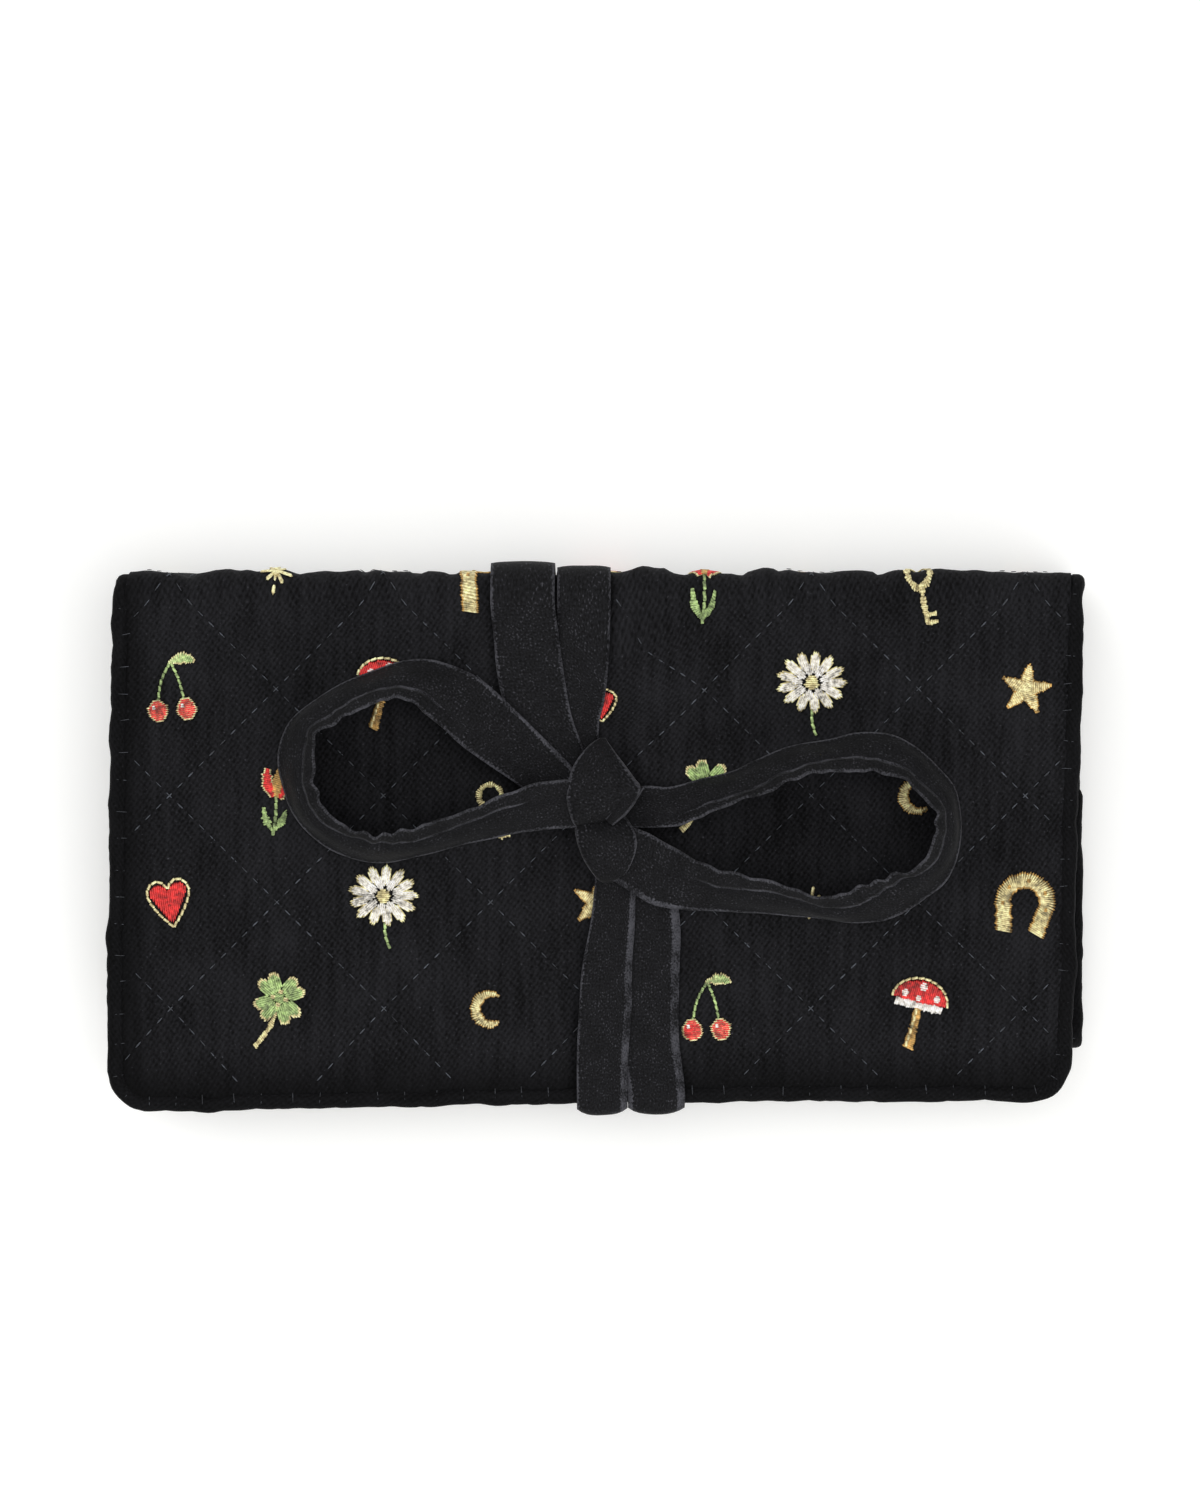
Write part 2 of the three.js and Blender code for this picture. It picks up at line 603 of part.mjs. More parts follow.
// Slider: two tapered plates on a thin post, with a bail on top
function zipSlider() {
  const plate = outline([
    [-SLIDER_LENGTH / 2, -SLIDER_REAR / 2, SLIDER_ROUND],
    [SLIDER_LENGTH / 2, -SLIDER_FRONT / 2, SLIDER_ROUND],
    [SLIDER_LENGTH / 2, SLIDER_FRONT / 2, SLIDER_ROUND],
    [-SLIDER_LENGTH / 2, SLIDER_REAR / 2, SLIDER_ROUND],
  ]);
  const lower = layer(plate, SLIDER_BASE, SLIDER_BASE + SLIDER_PLATE);
  const top = SLIDER_TOP_Z + SLIDER_PLATE;
  const upper = layer(plate, SLIDER_TOP_Z, top);
  const post = new THREE.BoxGeometry(SLIDER_LENGTH / 3, SLIDER_POST, SLIDER_TOP_Z - SLIDER_BASE);
  post.translate(SLIDER_LENGTH / 4, 0, (SLIDER_TOP_Z + SLIDER_BASE + SLIDER_PLATE) / 2);
  const half = BAIL_LENGTH / 2;
  const arch = outline([
    [-half, -SLIDER_PLATE / 2, 0],
    [half, -SLIDER_PLATE / 2, 0],
    [half, BAIL_HEIGHT, BAIL_ROUND],
    [-half, BAIL_HEIGHT, BAIL_ROUND],
  ]);
  arch.holes.push(outline([
    [-half + BAIL_WALL, 0, 0],
    [-half + BAIL_WALL, BAIL_HEIGHT - BAIL_WALL, BAIL_EYE_ROUND],
    [half - BAIL_WALL, BAIL_HEIGHT - BAIL_WALL, BAIL_EYE_ROUND],
    [half - BAIL_WALL, 0, 0],
  ]));
  const bail = layer(arch, -BAIL_WIDTH / 2, BAIL_WIDTH / 2).rotateX(Math.PI / 2).translate(0, 0, top);
  return join(lower, upper, post, bail);
}
const SLIDER_X = ZIP_RIGHT - SLIDER_STOP - SLIDER_LENGTH / 2;
const slider = named('zip_slider', zipSlider(), BRASS);
slider.position.set(SLIDER_X, ZIP_Y, 0);
group.add(slider);

// Pull: a drop-shaped tab whose end bar turns inside the bail
const PIVOT_Z = SLIDER_TOP_Z + SLIDER_PLATE + (BAIL_HEIGHT - BAIL_WALL) / 2;
function zipPull() {
  const eye = BAIL_WIDTH / 2 + PULL_PLAY;
  const neck = eye + PULL_ARM;
  const tab = outline([
    [PULL / 2, -neck, 0],
    [PULL / 2, neck, 0],
    [-PULL_NECK, neck, 0],
    [-PULL_SHOULDER, PULL_WIDTH / 2, PULL_ROUND],
    [-PULL_LENGTH, PULL_WIDTH / 2 - PULL_TAPER, PULL_ROUND],
    [-PULL_LENGTH, -PULL_WIDTH / 2 + PULL_TAPER, PULL_ROUND],
    [-PULL_SHOULDER, -PULL_WIDTH / 2, PULL_ROUND],
    [-PULL_NECK, -neck, 0],
  ]);
  tab.holes.push(outline([
    [-PULL / 2, -eye, 0],
    [-PULL_EYE, -eye, 0],
    [-PULL_EYE, eye, 0],
    [-PULL / 2, eye, 0],
  ]));
  return layer(tab, -PULL / 2, PULL / 2);
}
const pull = named('zip_pull', zipPull(), BRASS);
pull.position.set(SLIDER_X, ZIP_Y, PIVOT_Z);
group.add(pull);

// Spine of the top fold: a short padded panel standing between its two creases

const SPINE_LOW = HALF + CREASE_CLEAR;
const SPINE_HIGH = FLAP_CREASE_Z - CREASE_CLEAR;
const SPINE_LEFT = REAR_LEFT + BINDING + FIT;
const SPINE_RIGHT = REAR_RIGHT - BINDING - FIT;
function spineLayer(from, to) {
  const profile = [[from, SPINE_LOW], [to, SPINE_LOW], [to, SPINE_HIGH], [from, SPINE_HIGH]];
  return along(profile, SPINE_LEFT, SPINE_RIGHT);
}

// The spine's cover is crowned, and drawn in along both creases
function spineCover() {
  const base = TOP_EDGE - COVER;
  const middle = (SPINE_LOW + SPINE_HIGH) / 2;
  const reach = (SPINE_HIGH - SPINE_LOW) / 2;
  const profile = [[base, SPINE_HIGH], [base, SPINE_LOW]];
  for (let k = 0; k <= SPINE_STEPS; k += 1) {
    const u = 2 * k / SPINE_STEPS - 1;
    const bulge = COVER_SEAM + (COVER - COVER_SEAM) * Math.sqrt(1 - u * u);
    profile.push([base + bulge, middle + u * reach]);
  }
  return along(profile, SPINE_LEFT, SPINE_RIGHT);
}
const spineInner = TOP_EDGE - PANEL;
const spineWadding = spineInner + LINING + FIT;
const spineEdge = TOP_EDGE - HALF;
function spineBinding(left) {
  const strip = outline([
    [left, SPINE_LOW, 0],
    [left + BINDING, SPINE_LOW, 0],
    [left + BINDING, SPINE_HIGH, 0],
    [left, SPINE_HIGH, 0],
  ]);
  return softLayer(strip, -BINDING_HEIGHT / 2, BINDING_HEIGHT / 2, BINDING_ROUND)
    .rotateX(Math.PI / 2)
    .translate(0, spineEdge, 0);
}
group.add(
  named('spine_cover', spineCover(), VELVET),
  named('spine_wadding', spineLayer(spineWadding, spineWadding + WADDING), FILLING),
  named('spine_lining', spineLayer(spineInner, spineInner + LINING), SATIN),
  named('spine_binding_left', spineBinding(REAR_LEFT), BOUND_EDGE),
  named('spine_binding_right', spineBinding(REAR_RIGHT - BINDING), BOUND_EDGE),
);

// Ribbon over the spine: the taut band lies on it and the loose tail bows out
const SPINE_RIBBON_Y = TOP_EDGE + FIT + RIBBON / 2;
const spineMiddle = (SPINE_LOW + SPINE_HIGH) / 2;
group.add(
  named('tie_spine_band', strand([
    [BAND_X, SPINE_RIBBON_Y, SPINE_HIGH, BAND_WIDTH],
    [BAND_X, SPINE_RIBBON_Y, spineMiddle, BAND_WIDTH],
    [BAND_X, SPINE_RIBBON_Y, SPINE_LOW, BAND_WIDTH],
  ], RIBBON, 4), RIBBON_VELVET),
  named('tie_spine_tail', strand([
    [TAIL_X, SPINE_RIBBON_Y, SPINE_HIGH, TAIL_WIDTH],
    [TAIL_X, SPINE_RIBBON_Y + TAIL_BOW, spineMiddle, TAIL_WIDTH],
    [TAIL_X, SPINE_RIBBON_Y, SPINE_LOW, TAIL_WIDTH],
  ], RIBBON, 10), RIBBON_VELVET),
);

// Inner panel, folded up from the bottom, in a frame on its crease

const inner = new THREE.Group();
inner.position.set(0, BOTTOM_CREASE_Y, INNER_CREASE_Z);
const innerInside = panelOutline(innerPanel, BINDING + FIT);

// A slip pocket lies flat on a lining, with a thicker hem along its mouth; z points off the lining
function slipPocket(mouth, foot, left, right) {
  const away = Math.sign(mouth - foot);
  const profile = [
    [foot, FIT],
    [mouth, FIT],
    [mouth, FIT + CLOTH + HEM_EXTRA],
    [mouth - away * HEM, FIT + CLOTH + HEM_EXTRA],
    [mouth - away * (HEM + HEM_EXTRA), FIT + CLOTH],
    [foot, FIT + CLOTH],
  ];
  return along(away > 0 ? profile : profile.reverse(), left, right);
}

// A padded panel's layers in its own frame, with the crease's axis along X through the origin
function addLayers(parent, prefix, panel, inside) {
  parent.add(
    named(`${prefix}_cover`, quiltedCover(panel, COVER).translate(0, 0, HALF - COVER), VELVET),
    named(`${prefix}_wadding`, layer(inside, HALF - COVER - FIT - WADDING, HALF - COVER - FIT), FILLING),
    named(`${prefix}_lining`, layer(inside, -HALF, -HALF + LINING), SATIN),
    named(
      `${prefix}_binding`,
      softLayer(bindingOutline(panel), -BINDING_HEIGHT / 2, BINDING_HEIGHT / 2, BINDING_ROUND),
      BOUND_EDGE,
    ),
    named(`${prefix}_fold_roll`, creaseRoll(panel.left, panel.right), VELVET),
  );
}
addLayers(inner, 'inner', innerPanel, innerInside);
const innerPocket = slipPocket(
  INNER_REACH - INNER_POCKET_DROP,
  POCKET_FOOT - BOTTOM_CREASE_Y,
  -POCKET_RIGHT,
  -POCKET_LEFT,
);
inner.add(named('inner_pocket', innerPocket.rotateY(Math.PI).translate(0, 0, -HALF), SATIN));
group.add(inner);

// Spine of the bottom fold: one padded strip between two close creases
const LOW_SPINE_FROM = HALF + CREASE_CLEAR;
const LOW_SPINE_TO = INNER_CREASE_Z - CREASE_CLEAR;
const lowSpine = [
  [BOTTOM_EDGE, LOW_SPINE_FROM],
  [BOTTOM_EDGE + PANEL, LOW_SPINE_FROM],
  [BOTTOM_EDGE + PANEL, LOW_SPINE_TO],
  [BOTTOM_EDGE, LOW_SPINE_TO],
];
const LOW_RIBBON_Y = BOTTOM_EDGE - FIT - RIBBON / 2;
group.add(
  named('bottom_spine', along(lowSpine, REAR_LEFT, REAR_RIGHT), VELVET),
  named('tie_bottom_band', strand([
    [LOWER_BAND_X, LOW_RIBBON_Y, LOW_SPINE_TO, LOWER_BAND_WIDTH],
    [LOWER_BAND_X, LOW_RIBBON_Y, LOW_SPINE_FROM, LOWER_BAND_WIDTH],
  ], RIBBON, 2), RIBBON_VELVET),
  named('tie_bottom_tail', strand([
    [LOWER_TAIL_X, LOW_RIBBON_Y, LOW_SPINE_TO, LOWER_TAIL_WIDTH],
    [LOWER_TAIL_X, LOW_RIBBON_Y, LOW_SPINE_FROM, LOWER_TAIL_WIDTH],
  ], RIBBON, 2), RIBBON_VELVET),
);

// Flap, folded down from the top, in a frame on its crease and leaning to the bottom fold

const flap = new THREE.Group();
flap.position.set(0, TOP_CREASE_Y, FLAP_CREASE_Z);
flap.rotation.x = FLAP_TILT;
addLayers(flap, 'flap', flapPanel, panelOutline(flapPanel, BINDING + FIT));
const flapPocket = slipPocket(
  flapY(TOP_CREASE_Y - FLAP_POCKET_DROP),
  flapY(FLAP_EDGE + FLAP_POCKET_RISE),
  -(FLAP_RIGHT - POCKET_MARGIN + FLAP_DRIFT),
  -(FLAP_LEFT + POCKET_MARGIN),
);
flap.add(named('flap_pocket', flapPocket.rotateY(Math.PI).translate(0, 0, -HALF), SATIN));

// Knot: the ribbon's plump wrap over the crossing, and its turn tucked in below
const knotWrapOutline = [
  [1.2, 23.1], [-5.8, 16], [-6.8, 8.5], [-4.6, 2.9], [5.7, 5.2], [9.6, 11.2], [6.6, 15.7],
];
const knotTuckOutline = [
  [-5.4, 1.4], [-2.6, -5.8], [2.4, -10.1], [7.2, -7.4], [8.9, -2.6], [7.6, 2.4], [6.2, 4.4],
];

// A closed smooth outline on the flap, grown outwards by a margin
function knotShape(points, margin) {
  const corners = points.map(([x, y]) => new THREE.Vector2(x, y));
  const share = 1 / corners.length;
  const middle = corners.reduce((sum, p) => sum.addScaledVector(p, share), new THREE.Vector2());
  const grown = corners.map((corner) => {
    const away = corner.clone().sub(middle);
    const place = away.setLength(away.length() + margin).add(middle);
    return new THREE.Vector3(place.x, flapY(place.y), 0);
  });
  const curve = new THREE.CatmullRomCurve3(grown, true);
  return new THREE.Shape(curve.getPoints(KNOT_STEPS).slice(0, -1).map((p) => new THREE.Vector2(p.x, p.y)));
}
const seat = HALF + FIT;
const wrapRoom = layer(knotShape(knotWrapOutline, 2 * FIT), 0, 4 * PANEL);
const tuckRoom = layer(knotShape(knotTuckOutline, 2 * FIT), 0, 4 * PANEL);

// A plump pad on the flap: rings of one outline, drawn in below and rounded over on top
function plumpPad(points, height) {
  const rim = knotShape(points, 0).getPoints();
  const middle = rim.reduce((sum, p) => sum.addScaledVector(p, 1 / rim.length), new THREE.Vector2());
  const vertices = [];
  const faces = [];
  const rings = KNOT_RINGS.map((degrees) => THREE.MathUtils.degToRad(degrees));
  const low = Math.sin(rings[0]);
  rings.forEach((angle, k) => {
    const scale = Math.sqrt(Math.cos(angle));
    const z = seat + height * (Math.sin(angle) - low) / (1 - low);
    rim.forEach((p, n) => {
      vertices.push(middle.x + (p.x - middle.x) * scale, middle.y + (p.y - middle.y) * scale, z);
      if (k === 0) return;
      const next = (n + 1) % rim.length;
      const [a, b] = [(k - 1) * rim.length + n, (k - 1) * rim.length + next];
      faces.push(a, b, b + rim.length, a, b + rim.length, a + rim.length);
    });
  });
  const top = (rings.length - 1) * rim.length;
  const foot = vertices.length / 3;
  vertices.push(middle.x, middle.y, seat, middle.x, middle.y, seat + height);
  rim.forEach((p, n) => {
    const next = (n + 1) % rim.length;
    faces.push(next, n, foot, top + n, top + next, foot + 1);
  });
  const geometry = new THREE.BufferGeometry();
  geometry.setAttribute('position', new THREE.Float32BufferAttribute(vertices, 3));
  geometry.setIndex(faces);
  return geometry;
}
const knotWrap = plumpPad(knotWrapOutline, KNOT_HEIGHT);
const knotTuck = plumpPad(knotTuckOutline, KNOT_TUCK_HEIGHT);
flap.add(
  named('knot_wrap', knotWrap, RIBBON_VELVET),
  named('knot_tuck', cut(knotTuck, wrapRoom), RIBBON_VELVET),
);
const clearOfKnot = (geometry) => cut(cut(geometry, wrapRoom), tuckRoom);

// Strands over the top: from the knot up the flap and round the crease's roll as far as it can turn
const ROLL_RADIUS = HALF + FIT + RIBBON / 2;
function overRoll(x, width) {
  return [75, 45].map((degrees) => {
    const angle = THREE.MathUtils.degToRad(degrees);
    return [x, ROLL_RADIUS * Math.cos(angle), ROLL_RADIUS * Math.sin(angle), width];
  });
}
const flat = (x, y, lift, width) => [...onFlap(x, y, FIT + RIBBON / 2 + lift).toArray(), width];
const upperBand = [
  flat(-0.5, 17, 0, 10),
  flat(-3.2, 34, 0, BAND_WIDTH),
  flat(-3.2, 48, 0, BAND_WIDTH),
  flat(BAND_X, TOP_CREASE_Y - 1, 0, BAND_WIDTH),
  ...overRoll(BAND_X, BAND_WIDTH),
];
const upperTail = [
  flat(-5, 16, TAIL_LIFT, 11),
  flat(-12.2, 32, TAIL_LIFT, 13),
  flat(-15.6, 46, TAIL_LIFT, TAIL_WIDTH),
  flat(TAIL_X, TOP_CREASE_Y - 1, 0.4, TAIL_WIDTH),
  ...overRoll(TAIL_X, TAIL_WIDTH),
];

// Strands over the bottom: from the knot down the flap, round its free edge and tucked behind it
const EDGE_DROP = HALF + FIT + RIBBON / 2;
function roundEdge(x, width) {
  const edge = -FLAP_LENGTH - FIT - RIBBON / 2;
  return [
    [x, edge + EDGE_TURN, EDGE_DROP, width],
    [x, edge, HALF - EDGE_SHOULDER, width],
    [x, edge, -HALF + EDGE_SHOULDER, width],
    [x, edge + EDGE_TURN, -EDGE_DROP, width],
    [x, edge + UNDER_REACH, -EDGE_DROP, width],
  ];
}
const lowerBand = [
  flat(8.4, -4, 0, 11),
  flat(10, -17, 0, LOWER_BAND_WIDTH),
  flat(9.8, -32, 0, LOWER_BAND_WIDTH),
  flat(12, -48, 0, LOWER_BAND_WIDTH),
  ...roundEdge(LOWER_BAND_X, LOWER_BAND_WIDTH),
];
const lowerTail = [
  flat(3.6, -6, TAIL_LIFT, 8.6),
  flat(3.2, -18, TAIL_LIFT, 10),
  flat(1.9, -36, TAIL_LIFT, LOWER_TAIL_WIDTH),
  flat(0.2, -50, TAIL_LIFT, LOWER_TAIL_WIDTH),
  ...roundEdge(LOWER_TAIL_X, LOWER_TAIL_WIDTH),
];
flap.add(
  named('tie_upper_band', clearOfKnot(strand(upperBand)), RIBBON_VELVET),
  named('tie_upper_tail', clearOfKnot(strand(upperTail)), RIBBON_VELVET),
  named('tie_lower_band', clearOfKnot(strand(lowerBand)), RIBBON_VELVET),
  named('tie_lower_tail', clearOfKnot(strand(lowerTail)), RIBBON_VELVET),
);

// Bow loops: each one leaves the knot, leans over as it turns and comes back
const leftLoop = [
  [-1, 11, 3.4, 8], [-12, 21, 3.4, 12], [-24, 29.5, 2, 30], [-37, 33.6, 0, 45],
  [-48, 33.2, 0, 52], [-58.6, 28.6, 0, 58], [-64.8, 20.6, 0, 60], [-64.2, 10, 0, 58],
  [-57.4, 1.4, 0, 52], [-46.5, -1.6, 0, 46], [-34.5, 0.2, 0, 40], [-21.9, 3.8, 0, 28],
  [-8, 7, 0, 12], [0, 8, 0, 8],
];
const rightLoop = [
  [1, 10.8, 0, -10], [10.7, 10.6, 0, -24], [20.8, 9.8, 0, -40], [33.1, 13, 0, -50],
  [46.6, 17.4, 0, -52], [58.4, 18.6, 0, -54], [67.6, 16, 0, -58], [74, 9.6, 0, -60],
  [75.6, 1.4, 0, -60], [73.2, -6.6, 0, -58], [66.6, -11.6, 0, -52], [56.2, -13.6, 0, -46],
  [43.2, -13.2, 0, -38], [28.5, -10.2, 0.8, -28], [14.3, -6.4, 2.8, -10], [2, -2.6, 3.2, -4],
];
flap.add(
  named('bow_loop_left', clearOfKnot(bowLoop(leftLoop)), RIBBON_VELVET),
  named('bow_loop_right', clearOfKnot(bowLoop(rightLoop)), RIBBON_VELVET),
);
group.add(flap);

export default group;
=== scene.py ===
"""A quilted velvet jewelry roll, folded in three and tied shut with a ribbon bow."""

import json
import math
from itertools import accumulate

import bmesh
import bpy
from bpy.props import FloatProperty, FloatVectorProperty, IntProperty, PointerProperty
from mathutils import Matrix, Vector, noise


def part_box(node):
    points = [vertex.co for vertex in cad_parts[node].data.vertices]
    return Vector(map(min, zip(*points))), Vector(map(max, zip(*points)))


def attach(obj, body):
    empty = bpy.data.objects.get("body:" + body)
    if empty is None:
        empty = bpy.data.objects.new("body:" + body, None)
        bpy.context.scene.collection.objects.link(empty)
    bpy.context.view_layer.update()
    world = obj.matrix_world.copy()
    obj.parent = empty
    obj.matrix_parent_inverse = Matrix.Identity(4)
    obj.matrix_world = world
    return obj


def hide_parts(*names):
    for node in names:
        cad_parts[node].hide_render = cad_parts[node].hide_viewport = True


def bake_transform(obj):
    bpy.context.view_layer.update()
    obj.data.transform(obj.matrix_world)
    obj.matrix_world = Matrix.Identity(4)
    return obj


bl_info = {
    "name": "Jewelry Roll",
    "version": (1, 0, 0),
    "blender": (4, 5, 0),
    "location": "View3D > Sidebar > Jewelry Roll",
    "description": "A quilted velvet roll with embroidered charms, a zipped pocket and a ribbon bow",
    "category": "Object",
}

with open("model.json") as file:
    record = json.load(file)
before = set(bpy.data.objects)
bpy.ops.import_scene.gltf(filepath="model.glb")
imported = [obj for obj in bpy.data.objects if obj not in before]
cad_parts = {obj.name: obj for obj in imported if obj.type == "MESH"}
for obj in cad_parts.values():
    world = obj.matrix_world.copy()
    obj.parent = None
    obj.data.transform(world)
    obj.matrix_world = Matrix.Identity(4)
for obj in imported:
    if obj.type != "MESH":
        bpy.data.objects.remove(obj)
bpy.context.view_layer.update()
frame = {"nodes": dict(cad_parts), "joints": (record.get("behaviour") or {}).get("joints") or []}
MM = 0.001


def linear(code):
    """An sRGB hex colour, such as 1a1a1c, as linear numbers."""
    values = [int(code[k:k + 2], 16) / 255 for k in (0, 2, 4)]
    return [v / 12.92 if v <= 0.04045 else ((v + 0.055) / 1.055) ** 2.4 for v in values]


def length(name, description, millimetres):
    return FloatProperty(
        name=name, description=description, default=millimetres * MM, unit="LENGTH", precision=5)


def colour(name, description, code):
    return FloatVectorProperty(
        name=name, description=description, default=linear(code), subtype="COLOR", min=0, max=1)


class PanelSizes(bpy.types.PropertyGroup):
    """Sizes of the padded panels and their folds."""

    panel: length("Panel", "Thickness of a padded panel", 6)
    lining: length("Lining", "Thickness of the satin lining", 0.5)
    fold_radius: length("Fold radius", "Radius of the panel's middle at a fold", 4)
    fold_thin: FloatProperty(
        name="Bottom fold", description="Share of the padding left at the bottom fold",
        default=0.5, subtype="FACTOR")
    fold_reach: length("Fold reach", "How far the thin padding reaches from the bottom fold", 9)
    flap_rest: length("Flap rest", "From the inner panel up to the flap's lining at the bottom fold", 1.2)
    flap_corner: length("Flap corner", "Radius of the flap's free corners", 10)
    flap_out: length("Flap out", "How far the flap's left edge has worked outwards", 0.7)
    sag: length("Sag", "How far the flap's free edge sags at its left corner", 2.6)
    sag_reach: length("Sag reach", "How far up the flap the sag reaches", 24)
    inner_corner: length("Inner corner", "Radius of the inner panel's free corners", 6)
    binding: length("Binding", "Width of the bound edge", 4)
    binding_height: length("Binding height", "Thickness of the bound edge", 4.4)
    edge_wave: length("Edge wave", "How far the sewn edges wander", 0.65)
    seam: length("Seam", "From a pocket's edge to its seam", 1.6)
    seam_pitch: length("Seam pitch", "From one stitch of a seam to the next", 2.8)
    seam_thread: length("Seam thread", "Width of a seam's thread", 0.4)
    step: length("Mesh step", "Distance between the mesh lines of a panel", 1.2)


class QuiltSizes(bpy.types.PropertyGroup):
    """Sizes of the quilting and its stitches."""

    pitch: length("Pitch", "Diagonal of a quilted square", 48)
    row: length("Row", "Height of a crossing over the middle of the flap", 9.4)
    depth: length("Depth", "From a pillow's top down to its stitch line", 1.5)
    roll: length("Edge roll", "How far from the binding a pillow reaches its full height", 7)
    pucker: length("Pucker", "Height of the tucks between stitches", 0.16)
    crinkle: length("Crinkle", "Height of the fine creases in the velvet", 0.11)
    fold_bump: length("Fold bumps", "Height of the bumps along the top fold", 0.9)
    fan: length("Fan", "Height of the creases that fan out of the ribbon", 1.5)
    drawn: length("Drawn", "How far the ribbon draws the velvet down at its right, near the top fold", 6)
    press: length("Press", "How far the ribbon presses into the padding", 0.75)
    wrinkle: length("Wrinkle", "Depth of the lining's wrinkles", 0.35)
    flatten: length("Flatten", "How far the back's pillows are flattened where they lie", 0.85)
    stitch: length("Stitch", "Length of a quilting stitch", 1.8)
    stitch_pitch: length("Stitch pitch", "From one quilting stitch to the next", 3.4)
    thread: length("Thread", "Width of the quilting thread", 0.26)
    edge_pitch: length("Edge stitch pitch", "From one edge stitch to the next", 6.5)


class RibbonSizes(bpy.types.PropertyGroup):
    """Sizes of the velvet ribbon."""

    width: length("Width", "Width of the ribbon", 14)
    thickness: length("Thickness", "Thickness of the ribbon with its pile", 0.8)
    ruffle: length("Ruffle", "Height of the ruffles along the loops' inner edge", 0.5)
    steps: IntProperty(name="Steps", description="Mesh steps along a strand", default=90)


class RollColours(bpy.types.PropertyGroup):
    """Colours of the cloth, threads and metal."""

    velvet: colour("Velvet", "Quilted velvet", "141416")
    ribbon: colour("Ribbon", "Velvet ribbon", "131315")
    satin: colour("Satin", "Lining", "8d8b88")
    seam: colour("Seam", "Thread of the lining's seams", "716f6c")
    stitch: colour("Stitch", "Quilting thread", "3f434a")
    edge_thread: colour("Edge thread", "Thread over the bound edges", "35383e")
    gold: colour("Gold", "Gold thread", "e3d39c")
    white: colour("White", "White thread", "f1ece2")
    red: colour("Red", "Red thread", "d5312f")
    green: colour("Green", "Green thread", "9fb676")
    orange: colour("Orange", "Orange-gold thread", "bf9754")
    tape: colour("Tape", "Zip tape", "161618")
    brass: colour("Brass", "Slider, pull and teeth", "c9a35a")
    floor: colour("Floor", "Studio floor", "f2f2f0")


# The roll as one strip


def crease(name):
    """Where a fold's axis crosses the YZ plane."""
    joint = next(j for j in frame["joints"] if j["name"] == name)
    return Vector(joint["pos_m"][1:])


